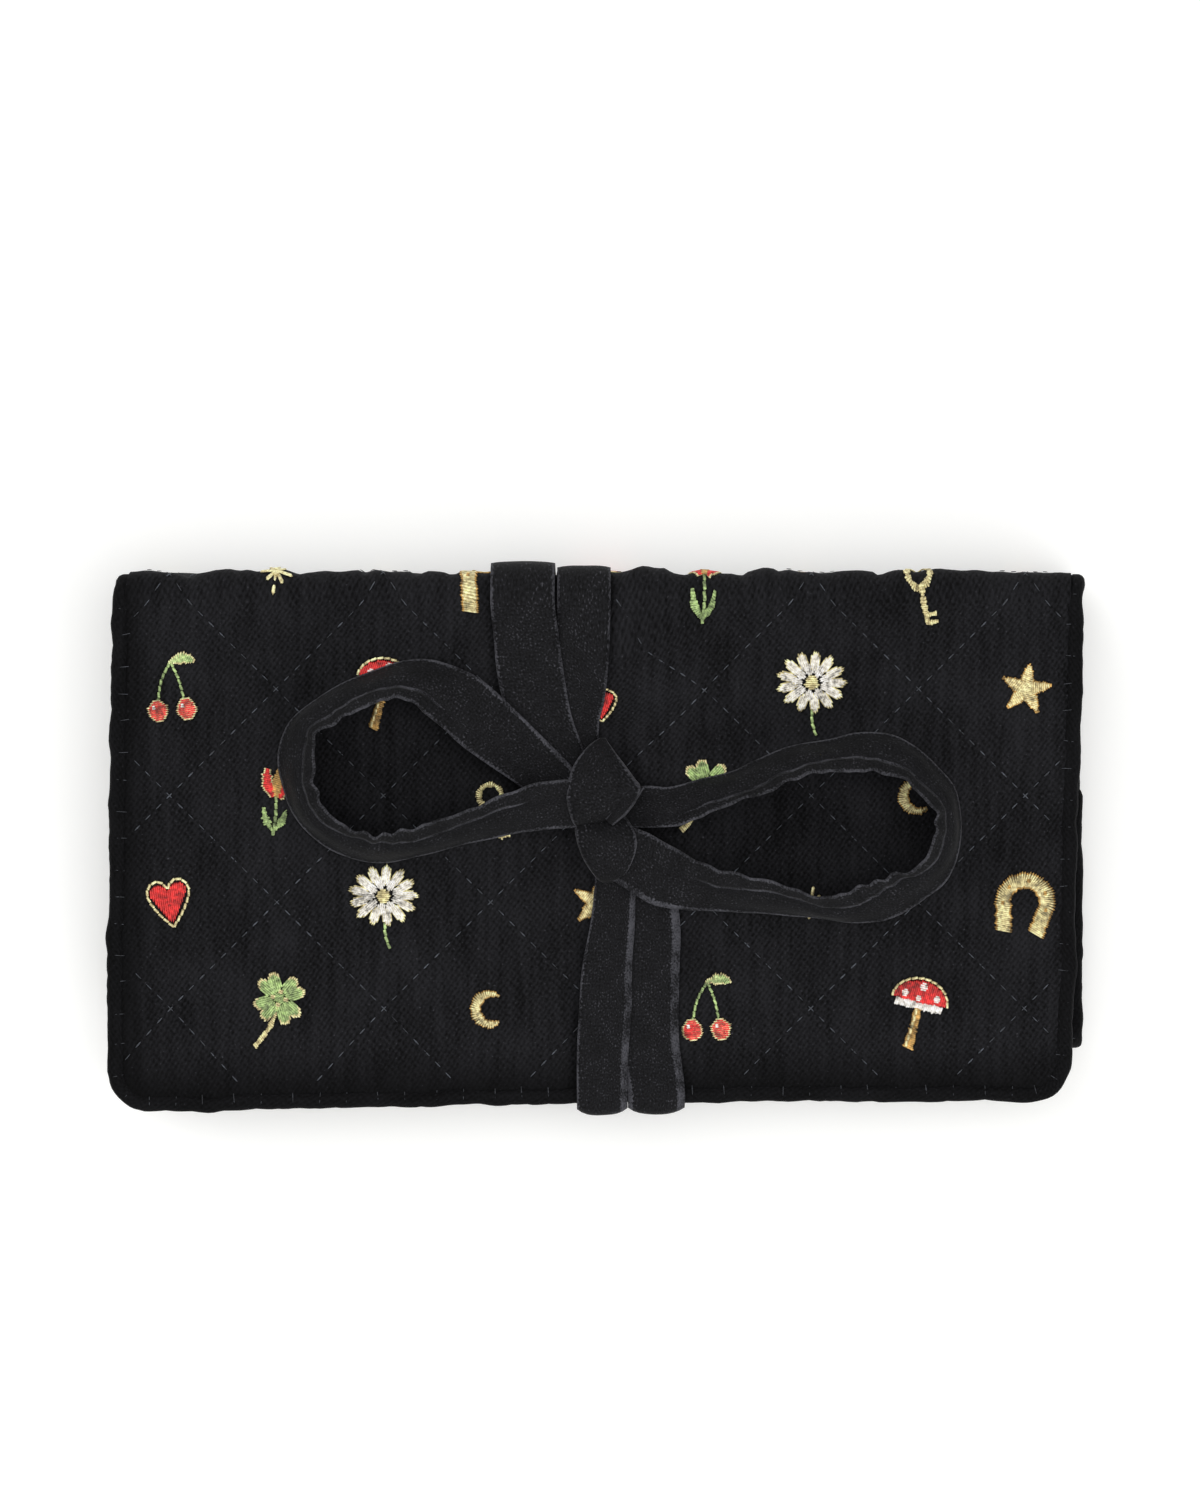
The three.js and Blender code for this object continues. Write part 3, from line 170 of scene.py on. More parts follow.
class Strip:
    """The panels laid end to end, from the flap's free edge to the inner panel's.

    A place on it is x across, s along the middle of the padding and t out of the middle to the velvet side.
    """

    FLAP, SPINE, BACK, LOW_SPINE, INNER = range(5)
    FAN = (2.6 * MM, 51 * MM)  # x and height of the place at the ribbon's right that creases fan out of
    FAN_CREASES = 3.2  # creases in half a turn round that place
    FAN_TURN, FAN_AIM = 0.5, 0.3  # how far they are turned, and where they are highest, in radians
    FAN_PEAK, FAN_WIDE, FAN_START = 8 * MM, 7 * MM, 2 * MM  # how far out they are highest, and how they fade
    DRAWN_LEFT, DRAWN_RIGHT = 11 * MM, 26 * MM  # how far to both sides of there the velvet is drawn down
    DRAWN_GROWS, DRAWN_FADES, DRAWN_ENDS = 7 * MM, 24 * MM, 34 * MM  # the same below the flap's crease
    SAG_FROM = 10 * MM  # the ribbon holds the free edge here, and it sags from here to its left corner
    FOLD_LOSS = 0.75  # share of the quilting's depth that is lost at the top fold
    FOLD_FADE = 4 * MM  # how far past the top fold that reaches
    PUCKER_WIDE = 3 * MM  # how far from a stitch line the cloth is tucked
    PINCH = 0.12  # width of the pinches along the top fold, in the noise that places them
    LYING_PAST, LYING_FADE = 6 * MM, 8 * MM  # how far past the back it is still flattened, and how that ends
    EASE = 3 * MM  # how far beside the ribbon the cloth is drawn in
    PRINT = 0.3  # share of the quilting's depth that shows in the lining

    def __init__(self, panel, quilt):
        self.panel = panel
        self.quilt = quilt
        self.half = panel.panel / 2
        flap, top = crease("flap_fold"), crease("top_fold")
        bottom, inner = crease("bottom_fold"), crease("inner_fold")
        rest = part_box("inner_fold_roll")[1].z + panel.flap_rest
        slope = (flap.y - self.half - rest) / (flap.x - bottom.x + self.half)
        binding_low, binding_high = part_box("flap_binding")
        free = binding_low.y + self.half * math.sin(math.atan(slope)) / 2
        inner_low, inner_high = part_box("inner_binding")
        corners = [
            Vector((free, flap.y - slope * (flap.x - free))),
            flap,
            top,
            bottom,
            inner,
            Vector((inner_high.y, inner.y)),
        ]
        self.make_route(corners, panel.fold_radius)
        self.rear = (inner_low.x, inner_high.x)
        roll_low, roll_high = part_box("flap_fold_roll")
        self.flap_sides = (roll_low.x - panel.flap_out, roll_high.x)
        self.drift = binding_high.x - roll_high.x - (roll_low.x - binding_low.x)
        self.top_middle = self.on(self.SPINE, 0.5)
        self.back_middle = self.on(self.BACK, 0.5)
        self.low_middle = self.on(self.LOW_SPINE, 0.5)
        self.origin = self.at_height(quilt.row)
        self.find_pressed()

    def make_route(self, corners, radius):
        """Straight runs between the creases, joined by arcs."""
        self.runs = []
        self.arcs = []
        here = 0.0
        cut = 0.0
        for k in range(len(corners) - 1):
            away = (corners[k + 1] - corners[k]).normalized()
            start = corners[k] + away * cut
            turn = 0.0
            if k + 2 < len(corners):
                turn = away.angle((corners[k + 2] - corners[k + 1]).normalized())
            cut = radius * math.tan(turn / 2)
            run = (corners[k + 1] - start).length - cut
            self.runs.append((here, run, start, away))
            here += run
            if turn:
                self.arcs.append((here, radius * turn, start + away * run, away, radius))
                here += radius * turn
        self.end = here

    def on(self, run, share):
        """s of a point on one straight run."""
        here, run_length, _, _ = self.runs[run]
        return here + share * run_length

    def at_height(self, y):
        """s of the place on the flap that lies at a height y, seen from above."""
        _, _, start, away = self.runs[self.FLAP]
        return (y - start.x) / away.x

    def middle(self, s):
        """The middle of the padding at s, and the way out to the velvet there."""
        for here, arc, start, away, radius in self.arcs:
            if here <= s <= here + arc:
                turn = Matrix.Rotation(-(s - here) / radius, 2)
                centre = start + radius * Vector((away.y, -away.x))
                out = turn @ Vector((-away.y, away.x))
                return centre + radius * out, out
        for here, run, start, away in self.runs:
            if s <= here + run + 1e-9:
                return start + away * (s - here), Vector((-away.y, away.x))
        here, run, start, away = self.runs[-1]
        return start + away * (s - here), Vector((-away.y, away.x))

    def place(self, x, s, t):
        point, out = self.middle(s - self.drawn(x, s))
        return Vector((x, point.x + out.x * t - self.sag(x, s), point.y + out.y * t))

    def drawn(self, x, s):
        """How far the ribbon has drawn the velvet down along the flap, beside it and under it."""
        beside = x - self.FAN[0]
        below = self.on(self.FLAP, 1) - s
        share = smooth(1 - beside / self.DRAWN_RIGHT) if beside > 0 else smooth(1 + beside / self.DRAWN_LEFT)
        grown = smooth(below / self.DRAWN_GROWS)
        return self.quilt.drawn * share * grown * smooth((self.DRAWN_ENDS - below) / self.DRAWN_FADES)

    def sag(self, x, s):
        """How far a place near the flap's free edge hangs down, more towards the left corner."""
        along = (self.SAG_FROM - x) / (self.SAG_FROM - self.flap_sides[0])
        return self.panel.sag * max(along, 0) * smooth(1 - s / self.panel.sag_reach)

    def thin(self, s):
        """Share of the padding left at s: the bottom fold is nipped in."""
        share = smooth(abs(s - self.low_middle) / self.panel.fold_reach)
        return self.panel.fold_thin + (1 - self.panel.fold_thin) * share

    def sides(self, s):
        """Left and right edge at s, with the free corners rounded."""
        flap_end = self.on(self.FLAP, 1)
        if s <= flap_end:
            shift = self.drift * (1 - s / flap_end)
            left, right = (side + shift for side in self.flap_sides)
        else:
            share = smooth((s - flap_end) / (self.top_middle - flap_end))
            left, right = (a + (b - a) * share for a, b in zip(self.flap_sides, self.rear))
        flap_inset = corner_inset(s, self.panel.flap_corner)
        inset = max(flap_inset, corner_inset(self.end - s, self.panel.inner_corner))
        return left + inset, right - inset

    def to_edge(self, x, s):
        """Distance from a place to the nearest sewn edge."""
        left, right = self.sides(s)
        return min(x - left, right - x, s, self.end - s)

    def lines(self, x, s):
        """For both families of stitch lines: the distance to the nearest line and the place along it."""
        pitch = self.quilt.pitch
        for sign in (1, -1):
            across = x + sign * (s - self.origin)
            gap = abs(across - pitch * round(across / pitch)) / math.sqrt(2)
            yield gap, (x - sign * (s - self.origin)) / math.sqrt(2)

    def pillow(self, x, s):
        """How full the quilting is at a place, from 0 on a stitch line to 1."""
        across = math.pi * (x + s - self.origin) / self.quilt.pitch
        other = math.pi * (x - s + self.origin) / self.quilt.pitch
        dome = math.sqrt(abs(math.sin(across) * math.sin(other)))
        near = min(max((self.to_edge(x, s) - self.panel.binding) / self.quilt.roll, 0), 1)
        return dome * math.sqrt(near * (2 - near))

    def velvet(self, x, s):
        """t of the velvet's face."""
        quilt = self.quilt
        t = self.half - quilt.depth * (1 - self.pillow(x, s)) * (1 - self.FOLD_LOSS * self.near_fold(s))
        t = min(t, self.half - quilt.flatten * self.lying(s))
        for gap, place in self.lines(x, s):
            tuck = math.cos(math.pi * place / quilt.stitch_pitch)
            t += quilt.pucker * tuck * math.exp(-(gap / self.PUCKER_WIDE) ** 2)
        t += quilt.crinkle * ripple(x, 2.8, s, 13, 0.3)
        t += 2 * quilt.crinkle * ripple(x, 11, s, 26, 7.1)
        bumps = noise.noise((x / (9 * MM), 5.5, 1.2)) + 0.5 * noise.noise((x / (3.4 * MM), 2.5, 0.2))
        pinch = max(0, 1 - abs(noise.noise((x / (15 * MM), 8.1, 3.3))) / self.PINCH)
        t += quilt.fold_bump * (bumps - pinch) * self.near_fold(s)
        t += self.fan(x, s) - self.channel(x, s)
        return (t - self.half) + self.half * self.thin(s)

    def lying(self, s):
        """1 on the back, which the roll lies on, and 0 past its two ends."""
        here, run, _, _ = self.runs[self.BACK]
        past, fade = self.LYING_PAST, self.LYING_FADE
        return smooth((s - here + past) / fade) * smooth((here + run + past - s) / fade)

    def near_fold(self, s):
        """1 from the flap's crease to the middle of the spine, and 0 away from there."""
        here, arc, _, _, _ = self.arcs[0]
        gap = max(here + arc / 2 - s, s - self.top_middle, 0)
        return math.exp(-(gap / self.FOLD_FADE) ** 2)

    def fan(self, x, s):
        """Creases that fan out of the ribbon's right side, where it draws the flap in near the fold."""
        from_x = x - self.FAN[0]
        from_s = s - self.at_height(self.FAN[1])
        if from_x <= 0:
            return 0.0
        reach = math.hypot(from_x, from_s)
        angle = math.atan2(from_s, from_x)
        swell = math.exp(-((reach - self.FAN_PEAK) / self.FAN_WIDE) ** 2) * smooth(from_x / self.FAN_START)
        ridge = (1 - abs(math.sin(self.FAN_CREASES * angle + self.FAN_TURN))) ** 2
        return self.quilt.fan * swell * ridge * math.exp(-(angle - self.FAN_AIM) ** 2)

    def channel(self, x, s):
        """How far the taut ribbon and its tails press into the padding."""
        deep = 0.0
        ease = self.EASE
        for here, there, x_here, x_there, half in self.press_and_edge_shade:
            if here - ease < s < there + ease:
                share = min(max((s - here) / (there - here), 0), 1)
                end = min((s - here + ease) / ease, 1, (there + ease - s) / ease)
                gap = abs(x - x_here - (x_there - x_here) * share) - half
                deep = max(deep, self.quilt.press * smooth(1 - gap / ease) * end)
        return deep

    def find_pressed(self):
        """Where ribbon lies, as (first s, last s, x at each, half width)."""
        knot = self.at_height(6 * MM)
        back, low = self.on(self.BACK, 0), self.on(self.LOW_SPINE, 0)
        self.press_and_edge_shade = (
            (3 * MM, knot, 6.5 * MM, 5 * MM, 11 * MM),
            (knot, self.on(self.FLAP, 1) - 3 * MM, -3 * MM, -9.5 * MM, 12 * MM),
            (back, low, -3 * MM, 12.6 * MM, 7 * MM),
            (back, back + 32 * MM, -16.7 * MM, -19 * MM, 7.4 * MM),
            (low - 30 * MM, low, -6.5 * MM, -0.4 * MM, 5.4 * MM),
        )

    def satin(self, x, s):
        """t of the lining's face: a shallow print of the quilting."""
        dimple = self.quilt.depth * self.PRINT * (1 - self.pillow(x, s))
        wrinkle = self.quilt.wrinkle * ripple(x, 30, s, 7, 6.6)
        return (dimple - self.half) * self.thin(s) + wrinkle


def ripple(a, a_size, b, b_size, layer):
    """Soft noise at a place, with bumps of about the sizes given in millimetres."""
    return noise.noise((a / (a_size * MM), b / (b_size * MM), layer))


def smooth(share):
    """A share from 0 to 1 that starts and ends gently."""
    share = min(max(share, 0), 1)
    return share * share * (3 - 2 * share)


def so_far(lengths):
    """Running sums of some lengths, from 0."""
    return list(accumulate(lengths, initial=0.0))


def corner_inset(gap, radius):
    """How far a round corner draws the side in at a distance from the end."""
    if gap >= radius:
        return 0.0
    return radius - math.sqrt(max(radius ** 2 - (radius - gap) ** 2, 0))


def curve_through(points, steps):
    """Evenly counted points of a smooth curve through the given ones."""
    curve = []
    last = len(points) - 1
    for k in range(steps + 1):
        place = last * k / steps
        n = min(int(place), last - 1)
        u = place - n
        p = [Vector(points[min(max(n + d, 0), last)]) for d in (-1, 0, 1, 2)]
        curve.append(
            0.5 * (2 * p[1] + (p[2] - p[0]) * u + (2 * p[0] - 5 * p[1] + 4 * p[2] - p[3]) * u ** 2
                   + (3 * p[1] - p[0] - 3 * p[2] + p[3]) * u ** 3))
    return curve


# Meshes


def finish_piece(name, bm, material):
    """A piece at the origin, smooth, with its own finish."""
    bmesh.ops.recalc_face_normals(bm, faces=bm.faces)
    for face in bm.faces:
        face.smooth = True
    mesh = bpy.data.meshes.new(name)
    bm.to_mesh(mesh)
    bm.free()
    for entry in material if isinstance(material, list) else [material]:
        mesh.materials.append(entry)
    piece = bpy.data.objects.new(name, mesh)
    bpy.context.scene.collection.objects.link(piece)
    return piece


def lay_flat(bm, flat):
    """Keeps each corner's place in the flat cloth as its UV."""
    uv = bm.loops.layers.uv.new("cloth")
    for face in bm.faces:
        for loop in face.loops:
            loop[uv].uv = flat[loop.vert]


def cloth_block(across, along, shape):
    """A closed thickness of cloth, from a grid and its copy joined round the rim.

    shape(a, b) takes shares across and along. It gives the place in the cloth, the lower and the upper point.
    """
    bm = bmesh.new()
    bmesh.ops.create_grid(bm, x_segments=across, y_segments=along, size=0.5)
    lower = list(bm.verts)
    grown = bmesh.ops.extrude_face_region(bm, geom=list(bm.faces))
    upper = [part for part in grown["geom"] if isinstance(part, bmesh.types.BMVert)]
    flat = {}
    for verts, side in ((lower, 1), (upper, 2)):
        for vert in verts:
            made = shape(vert.co.x + 0.5, vert.co.y + 0.5)
            flat[vert] = made[0]
            vert.co = made[side]
    lay_flat(bm, flat)
    return bm


def tube_block(around, along, shape):
    """A closed tube with filled ends, from a grid that shape(turn, share) rolls up.

    shape gives the place in the cloth and the point.
    """
    bm = bmesh.new()
    bmesh.ops.create_grid(bm, x_segments=around, y_segments=along, size=0.5)
    flat = {}
    for vert in bm.verts:
        flat[vert], vert.co = shape(vert.co.x + 0.5, vert.co.y + 0.5)
    lay_flat(bm, flat)
    bmesh.ops.remove_doubles(bm, verts=bm.verts, dist=1e-7)
    ends = [edge for edge in bm.edges if edge.is_boundary]
    bmesh.ops.holes_fill(bm, edges=ends, sides=0)
    return bm


def move_into(whole, batch):
    """Adds a batch of stitches to the whole.

    Batches stay small, because the operators slow down as a mesh grows.
    """
    mesh = bpy.data.meshes.new("batch")
    batch.to_mesh(mesh)
    batch.free()
    whole.from_mesh(mesh)
    bpy.data.meshes.remove(mesh)


BEAD_FLAT = 0.8  # thickness of a stitch, as a share of its width
STITCHED = (0.14, 0.86)  # from where to where in a pitch the thread of a seam shows


def add_bead(bm, a, b, out, thread):
    """One stitch from a to b: a drop of thread, pressed flat along out."""
    made = bmesh.ops.create_uvsphere(bm, u_segments=6, v_segments=4, radius=0.5)
    run = b - a
    forward = run.normalized()
    side = forward.cross(out).normalized()
    up = side.cross(forward)
    turn = Matrix((forward, side, up)).transposed()
    for vert in made["verts"]:
        x, y, z = vert.co
        vert.co = (a + b) / 2 + turn @ Vector((z * run.length, y * thread, x * thread * BEAD_FLAT))


def sew_row(bm, start, end, on_cloth, pitch, thread):
    """A row of running stitches from one place on a cloth to another."""
    count = round((end - start).length / pitch)
    for k in range(count):
        a, b = (on_cloth(*start.lerp(end, (k + share) / count)) for share in STITCHED)
        add_bead(bm, a, b, Vector((0, 0, 1)), thread)


def sew_seams(roll, name, rows, on_cloth, body):
    """The seams of a pocket: rows of stitches, each from (x, along) to (x, along)."""
    bm = bmesh.new()
    for start, end in rows:
        row = bmesh.new()
        sew_row(row, Vector(start), Vector(end), on_cloth, roll.panel.seam_pitch, roll.panel.seam_thread)
        move_into(bm, row)
    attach(finish_piece(f"{name}_seams", bm, roll.finish.seam), body)


# Materials


def add(tree, kind, inputs=None, stops=(), **settings):
    """A shader node with its settings; an input takes a value or another node's socket.

    stops are the colours of a ramp, as (position, linear colour).
    """
    node = tree.nodes.new(kind)
    for name, value in settings.items():
        setattr(node, name, value)
    for key, value in (inputs or {}).items():
        if isinstance(value, bpy.types.NodeSocket):
            tree.links.new(value, node.inputs[key])
        else:
            node.inputs[key].default_value = value
    for k, (position, shade) in enumerate(stops):
        elements = node.color_ramp.elements
        stop = elements[k] if k < 2 else elements.new(position)
        stop.position = position
        stop.color = (*shade, 1)
    return node


def start(name, sockets):
    """A new material with its shader's constant values set, its node tree and its shader."""
    material = bpy.data.materials.new(name)
    material.use_nodes = True
    tree = material.node_tree
    surface = tree.nodes["Principled BSDF"]
    for key, value in sockets.items():
        surface.inputs[key].default_value = value
    return material, tree, surface


def scaled(shade, share):
    """A linear colour, lighter or darker by a share."""
    return [min(value * share, 1) for value in shade]


BAND_PERIOD = 0.3142  # period of a wave texture's straight bands at scale 1
DIAGONAL_PERIOD = 0.4443  # the same for its diagonal bands
LEFT_EDGE = (-109 * MM, -97 * MM)  # from where the painted edge shade is deepest at the velvet's left to where it ends, in UV x
FREE_EDGE = (1 * MM, 15 * MM)  # the same for the painted edge shade at its free edge, in UV y
FLOOR_LIFT = 0.22  # how much brighter than lit paper the floor is seen


def velveteen(name, shade, sheen, press_and_edge_shade):
    """Cotton velveteen: a short cut pile on a twill ground, so it drinks light and glows a little at a graze.
    The twill shows as faint ribs on both diagonals, drawn at 1 mm so that they show. The pile is crushed in
    soft clouds and along fine upright creases, and holds specks of lint. Along the left and free edges, where
    UV, the place on the cloth in metres, is lowest, the colour is darkened by painted shade to a share of its
    tone."""
    material, tree, surface = start(name, {
        "Roughness": 0.92, "Specular IOR Level": 0.12, "Sheen Weight": sheen, "Sheen Roughness": 0.4,
        "Sheen Tint": (0.92, 0.92, 1, 1),
    })
    place = add(tree, "ShaderNodeTexCoord").outputs["UV"]
    turned = add(tree, "ShaderNodeMapping", {"Vector": place, "Scale": (-1.2, 0.8, 1)}).outputs[0]
    twills = []
    for vector, size in ((place, 1.4 * MM), (turned, 1 * MM)):
        twill = add(
            tree, "ShaderNodeTexWave",
            {"Vector": vector, "Scale": DIAGONAL_PERIOD / size, "Distortion": 2.5, "Detail Scale": 2.0},
            bands_direction="DIAGONAL")
        twills.append(twill.outputs["Fac"])
    ribs = add(tree, "ShaderNodeMix", {"Factor": 0.6, "A": twills[0], "B": twills[1]})
    pile = add(tree, "ShaderNodeTexNoise", {"Vector": place, "Scale": 1 / (0.6 * MM), "Detail": 3.0})
    clouds = add(tree, "ShaderNodeTexNoise", {"Vector": place, "Scale": 1 / (17 * MM), "Detail": 5.0})
    upright = add(tree, "ShaderNodeMapping", {"Vector": place, "Scale": (1 / (1.9 * MM), 1 / (15 * MM), 1)})
    creases = add(tree, "ShaderNodeTexNoise", {"Vector": upright.outputs[0], "Scale": 1.0, "Detail": 3.0})
    grain = add(tree, "ShaderNodeMix", {"Factor": 0.72, "A": ribs.outputs[0], "B": pile.outputs["Fac"]})
    folds = add(
        tree, "ShaderNodeMix", {"Factor": 0.5, "A": creases.outputs["Fac"], "B": clouds.outputs["Fac"]})
    tone = add(tree, "ShaderNodeMix", {"Factor": 0.5, "A": grain.outputs[0], "B": folds.outputs[0]})
    tint = add(
        tree, "ShaderNodeValToRGB", {"Fac": tone.outputs[0]},
        [(0.38, scaled(shade, 0.2)), (0.62, scaled(shade, 2.1))])
    lint = add(
        tree, "ShaderNodeValToRGB", {"Fac": pile.outputs["Fac"]},
        [(0.68, (0, 0, 0)), (0.8, scaled(shade, 7))])
    mixed = add(
        tree, "ShaderNodeMix", {"Factor": 1.0, "A": tint.outputs["Color"], "B": lint.outputs["Color"]},
        data_type="RGBA", blend_type="ADD")
    # Painted shade along the left and free edges: the colour is multiplied down to a share of it there.
    parts = add(tree, "ShaderNodeSeparateXYZ", {"Vector": place})
    painted_edge_shade = []
    for axis, (flat, full) in (("X", LEFT_EDGE), ("Y", FREE_EDGE)):
        share = add(
            tree, "ShaderNodeMapRange",
            {"Value": parts.outputs[axis], "From Min": flat, "From Max": full, "To Min": press_and_edge_shade},
            interpolation_type="SMOOTHSTEP")
        painted_edge_shade.append(share.outputs[0])
    light = add(tree, "ShaderNodeMath", {0: painted_edge_shade[0], 1: painted_edge_shade[1]}, operation="MULTIPLY")
    lit = add(
        tree, "ShaderNodeMix", {"Factor": 1.0, "A": mixed.outputs[2], "B": light.outputs[0]},
        data_type="RGBA", blend_type="MULTIPLY")
    tree.links.new(lit.outputs[2], surface.inputs["Base Color"])
    crushed = add(tree, "ShaderNodeBump", {"Strength": 0.7, "Distance": 0.9 * MM, "Height": folds.outputs[0]})
    bump = add(tree, "ShaderNodeBump", {
        "Strength": 0.6, "Distance": 0.2 * MM, "Height": grain.outputs[0],
        "Normal": crushed.outputs["Normal"],
    })
    tree.links.new(bump.outputs["Normal"], surface.inputs["Normal"])
    return material


def velvet_ribbon(name, shade, width):
    """Velvet ribbon: dense nylon pile that catches light at a graze and holds lint, between frayed selvedges.
    UV runs across the ribbon in metres, so the selvedges keep to its edges. The pile is drawn at 0.5 mm so
    that it shows."""
    material, tree, surface = start(name, {
        "Roughness": 0.85, "Specular IOR Level": 0.15, "Sheen Weight": 0.06, "Sheen Roughness": 0.35,
        "Sheen Tint": (1, 1, 1, 1),
    })
    place = add(tree, "ShaderNodeTexCoord").outputs["UV"]
    parts = add(tree, "ShaderNodeSeparateXYZ", {"Vector": place})
    middle = add(tree, "ShaderNodeMath", {0: parts.outputs["X"]}, operation="ABSOLUTE")
    share = add(tree, "ShaderNodeMath", {0: middle.outputs[0], 1: width / 2}, operation="DIVIDE")
    pile = add(tree, "ShaderNodeTexNoise", {"Vector": place, "Scale": 1 / (0.5 * MM), "Detail": 2.0})
    clouds = add(tree, "ShaderNodeTexNoise", {"Vector": place, "Scale": 1 / (5 * MM), "Detail": 4.0})
    tone = add(
        tree, "ShaderNodeMix", {"Factor": 0.22, "A": pile.outputs["Fac"], "B": clouds.outputs["Fac"]})
    velvet = add(
        tree, "ShaderNodeValToRGB", {"Fac": tone.outputs[0]},
        [(0.36, scaled(shade, 0.3)), (0.6, scaled(shade, 1.6)), (0.7, scaled(shade, 9))])
    # Wear of the selvedges. The loops' painted crease highlight also takes its tone from here.
    wear_and_crease_highlight = add(
        tree, "ShaderNodeMix", {"Factor": 0.55, "A": pile.outputs["Fac"], "B": clouds.outputs["Fac"]})
    selvedge = add(
        tree, "ShaderNodeValToRGB", {"Fac": wear_and_crease_highlight.outputs[0]},
        [(0.4, scaled(shade, 1.2)), (0.6, scaled(shade, 11))])
    frayed = add(
        tree, "ShaderNodeMath", {0: pile.outputs["Fac"], 1: 0.2, 2: share.outputs[0]},
        operation="MULTIPLY_ADD")
    edge = add(
        tree, "ShaderNodeMapRange", {"Value": frayed.outputs[0], "From Min": 1.0, "From Max": 1.05})
    mixed = add(
        tree, "ShaderNodeMix",
        {"Factor": edge.outputs[0], "A": velvet.outputs["Color"], "B": selvedge.outputs["Color"]},
        data_type="RGBA")
    tree.links.new(mixed.outputs[2], surface.inputs["Base Color"])
    bump = add(tree, "ShaderNodeBump", {"Strength": 0.7, "Distance": 0.2 * MM, "Height": tone.outputs[0]})
    tree.links.new(bump.outputs["Normal"], surface.inputs["Normal"])
    return material


def satin_lining(name, shade):
    """Polyester satin: long floats over a fine weft, smooth, with a soft shine and faint cross threads."""
    material, tree, surface = start(name, {
        "Roughness": 0.33, "Specular IOR Level": 0.6, "Sheen Weight": 0.15, "Sheen Roughness": 0.4,
    })
    place = add(tree, "ShaderNodeTexCoord").outputs["UV"]
    threads = add(
        tree, "ShaderNodeTexWave",
        {"Vector": place, "Scale": BAND_PERIOD / (0.6 * MM), "Distortion": 1.0, "Detail Scale": 3.0},
        bands_direction="Y")
    drape = add(tree, "ShaderNodeTexNoise", {"Vector": place, "Scale": 1 / (22 * MM), "Detail": 3.0})
    tone = add(
        tree, "ShaderNodeMix", {"Factor": 0.7, "A": threads.outputs["Fac"], "B": drape.outputs["Fac"]})
    tint = add(
        tree, "ShaderNodeValToRGB", {"Fac": tone.outputs[0]},
        [(0.2, scaled(shade, 0.78)), (0.8, scaled(shade, 1.18))])
    tree.links.new(tint.outputs["Color"], surface.inputs["Base Color"])
    height = add(
        tree, "ShaderNodeMix", {"Factor": 0.75, "A": threads.outputs["Fac"], "B": drape.outputs["Fac"]})
    bump = add(tree, "ShaderNodeBump", {"Strength": 0.5, "Distance": 0.7 * MM, "Height": height.outputs[0]})
    tree.links.new(bump.outputs["Normal"], surface.inputs["Normal"])
    return material


def sewing_thread(name, shade, metallic=0.0, roughness=0.55):
    """Rayon, foil or cotton thread: shiny along its length. Its colour carries painted shade where it lies
    deep in the pile or twists away from the light, and painted glints, drawn at 0.8 mm so that they show."""
    material, tree, surface = start(
        name, {"Roughness": roughness, "Metallic": metallic, "Specular IOR Level": 0.5})
    place = add(tree, "ShaderNodeTexCoord").outputs["Object"]
    glints = add(tree, "ShaderNodeTexNoise", {"Vector": place, "Scale": 1 / (0.8 * MM), "Detail": 2.0})
    uneven = add(tree, "ShaderNodeTexNoise", {"Vector": place, "Scale": 1 / (4 * MM), "Detail": 2.0})
    tone = add(
        tree, "ShaderNodeMix", {"Factor": 0.4, "A": glints.outputs["Fac"], "B": uneven.outputs["Fac"]})
    # Painted shade and painted glints: the thread's colour runs from 0.3 to 1.7 of its shade.
    tint = add(
        tree, "ShaderNodeValToRGB", {"Fac": tone.outputs[0]},
        [(0.36, scaled(shade, 0.3)), (0.5, scaled(shade, 0.9)), (0.64, scaled(shade, 1.7))])
    tree.links.new(tint.outputs["Color"], surface.inputs["Base Color"])
    bump = add(
        tree, "ShaderNodeBump", {"Strength": 0.5, "Distance": 0.15 * MM, "Height": glints.outputs["Fac"]})
    tree.links.new(bump.outputs["Normal"], surface.inputs["Normal"])
    return material


def woven_tape(name, shade):
    """Herringbone polyester tape: matt, with fine ribs that lean to one side."""
    material, tree, surface = start(
        name, {"Roughness": 0.75, "Specular IOR Level": 0.3, "Sheen Weight": 0.2})
    place = add(tree, "ShaderNodeTexCoord").outputs["UV"]
    ribs = add(
        tree, "ShaderNodeTexWave", {"Vector": place, "Scale": DIAGONAL_PERIOD / (0.8 * MM)},
        bands_direction="DIAGONAL")
    tint = add(
        tree, "ShaderNodeValToRGB", {"Fac": ribs.outputs["Fac"]},
        [(0.1, scaled(shade, 0.6)), (0.9, scaled(shade, 1.8))])
    tree.links.new(tint.outputs["Color"], surface.inputs["Base Color"])
    bump = add(tree, "ShaderNodeBump", {"Strength": 0.6, "Distance": 0.2 * MM, "Height": ribs.outputs["Fac"]})
    tree.links.new(bump.outputs["Normal"], surface.inputs["Normal"])
    return material


def cast_brass(name, shade):
    """Die-cast brass, tumbled and lacquered: bright, with a fine haze that dulls it in patches."""
    material, tree, surface = start(name, {"Metallic": 1.0})
    place = add(tree, "ShaderNodeTexCoord").outputs["Object"]
    haze = add(tree, "ShaderNodeTexNoise", {"Vector": place, "Scale": 1 / (1.6 * MM), "Detail": 4.0})
    tint = add(
        tree, "ShaderNodeValToRGB", {"Fac": haze.outputs["Fac"]},
        [(0.3, scaled(shade, 0.7)), (0.7, scaled(shade, 1.1))])
    tree.links.new(tint.outputs["Color"], surface.inputs["Base Color"])
    rough = add(
        tree, "ShaderNodeMapRange", {"Value": haze.outputs["Fac"], "To Min": 0.22, "To Max": 0.42})
    tree.links.new(rough.outputs[0], surface.inputs["Roughness"])
    bump = add(
        tree, "ShaderNodeBump", {"Strength": 0.2, "Distance": 0.05 * MM, "Height": haze.outputs["Fac"]})
    tree.links.new(bump.outputs["Normal"], surface.inputs["Normal"])
    return material


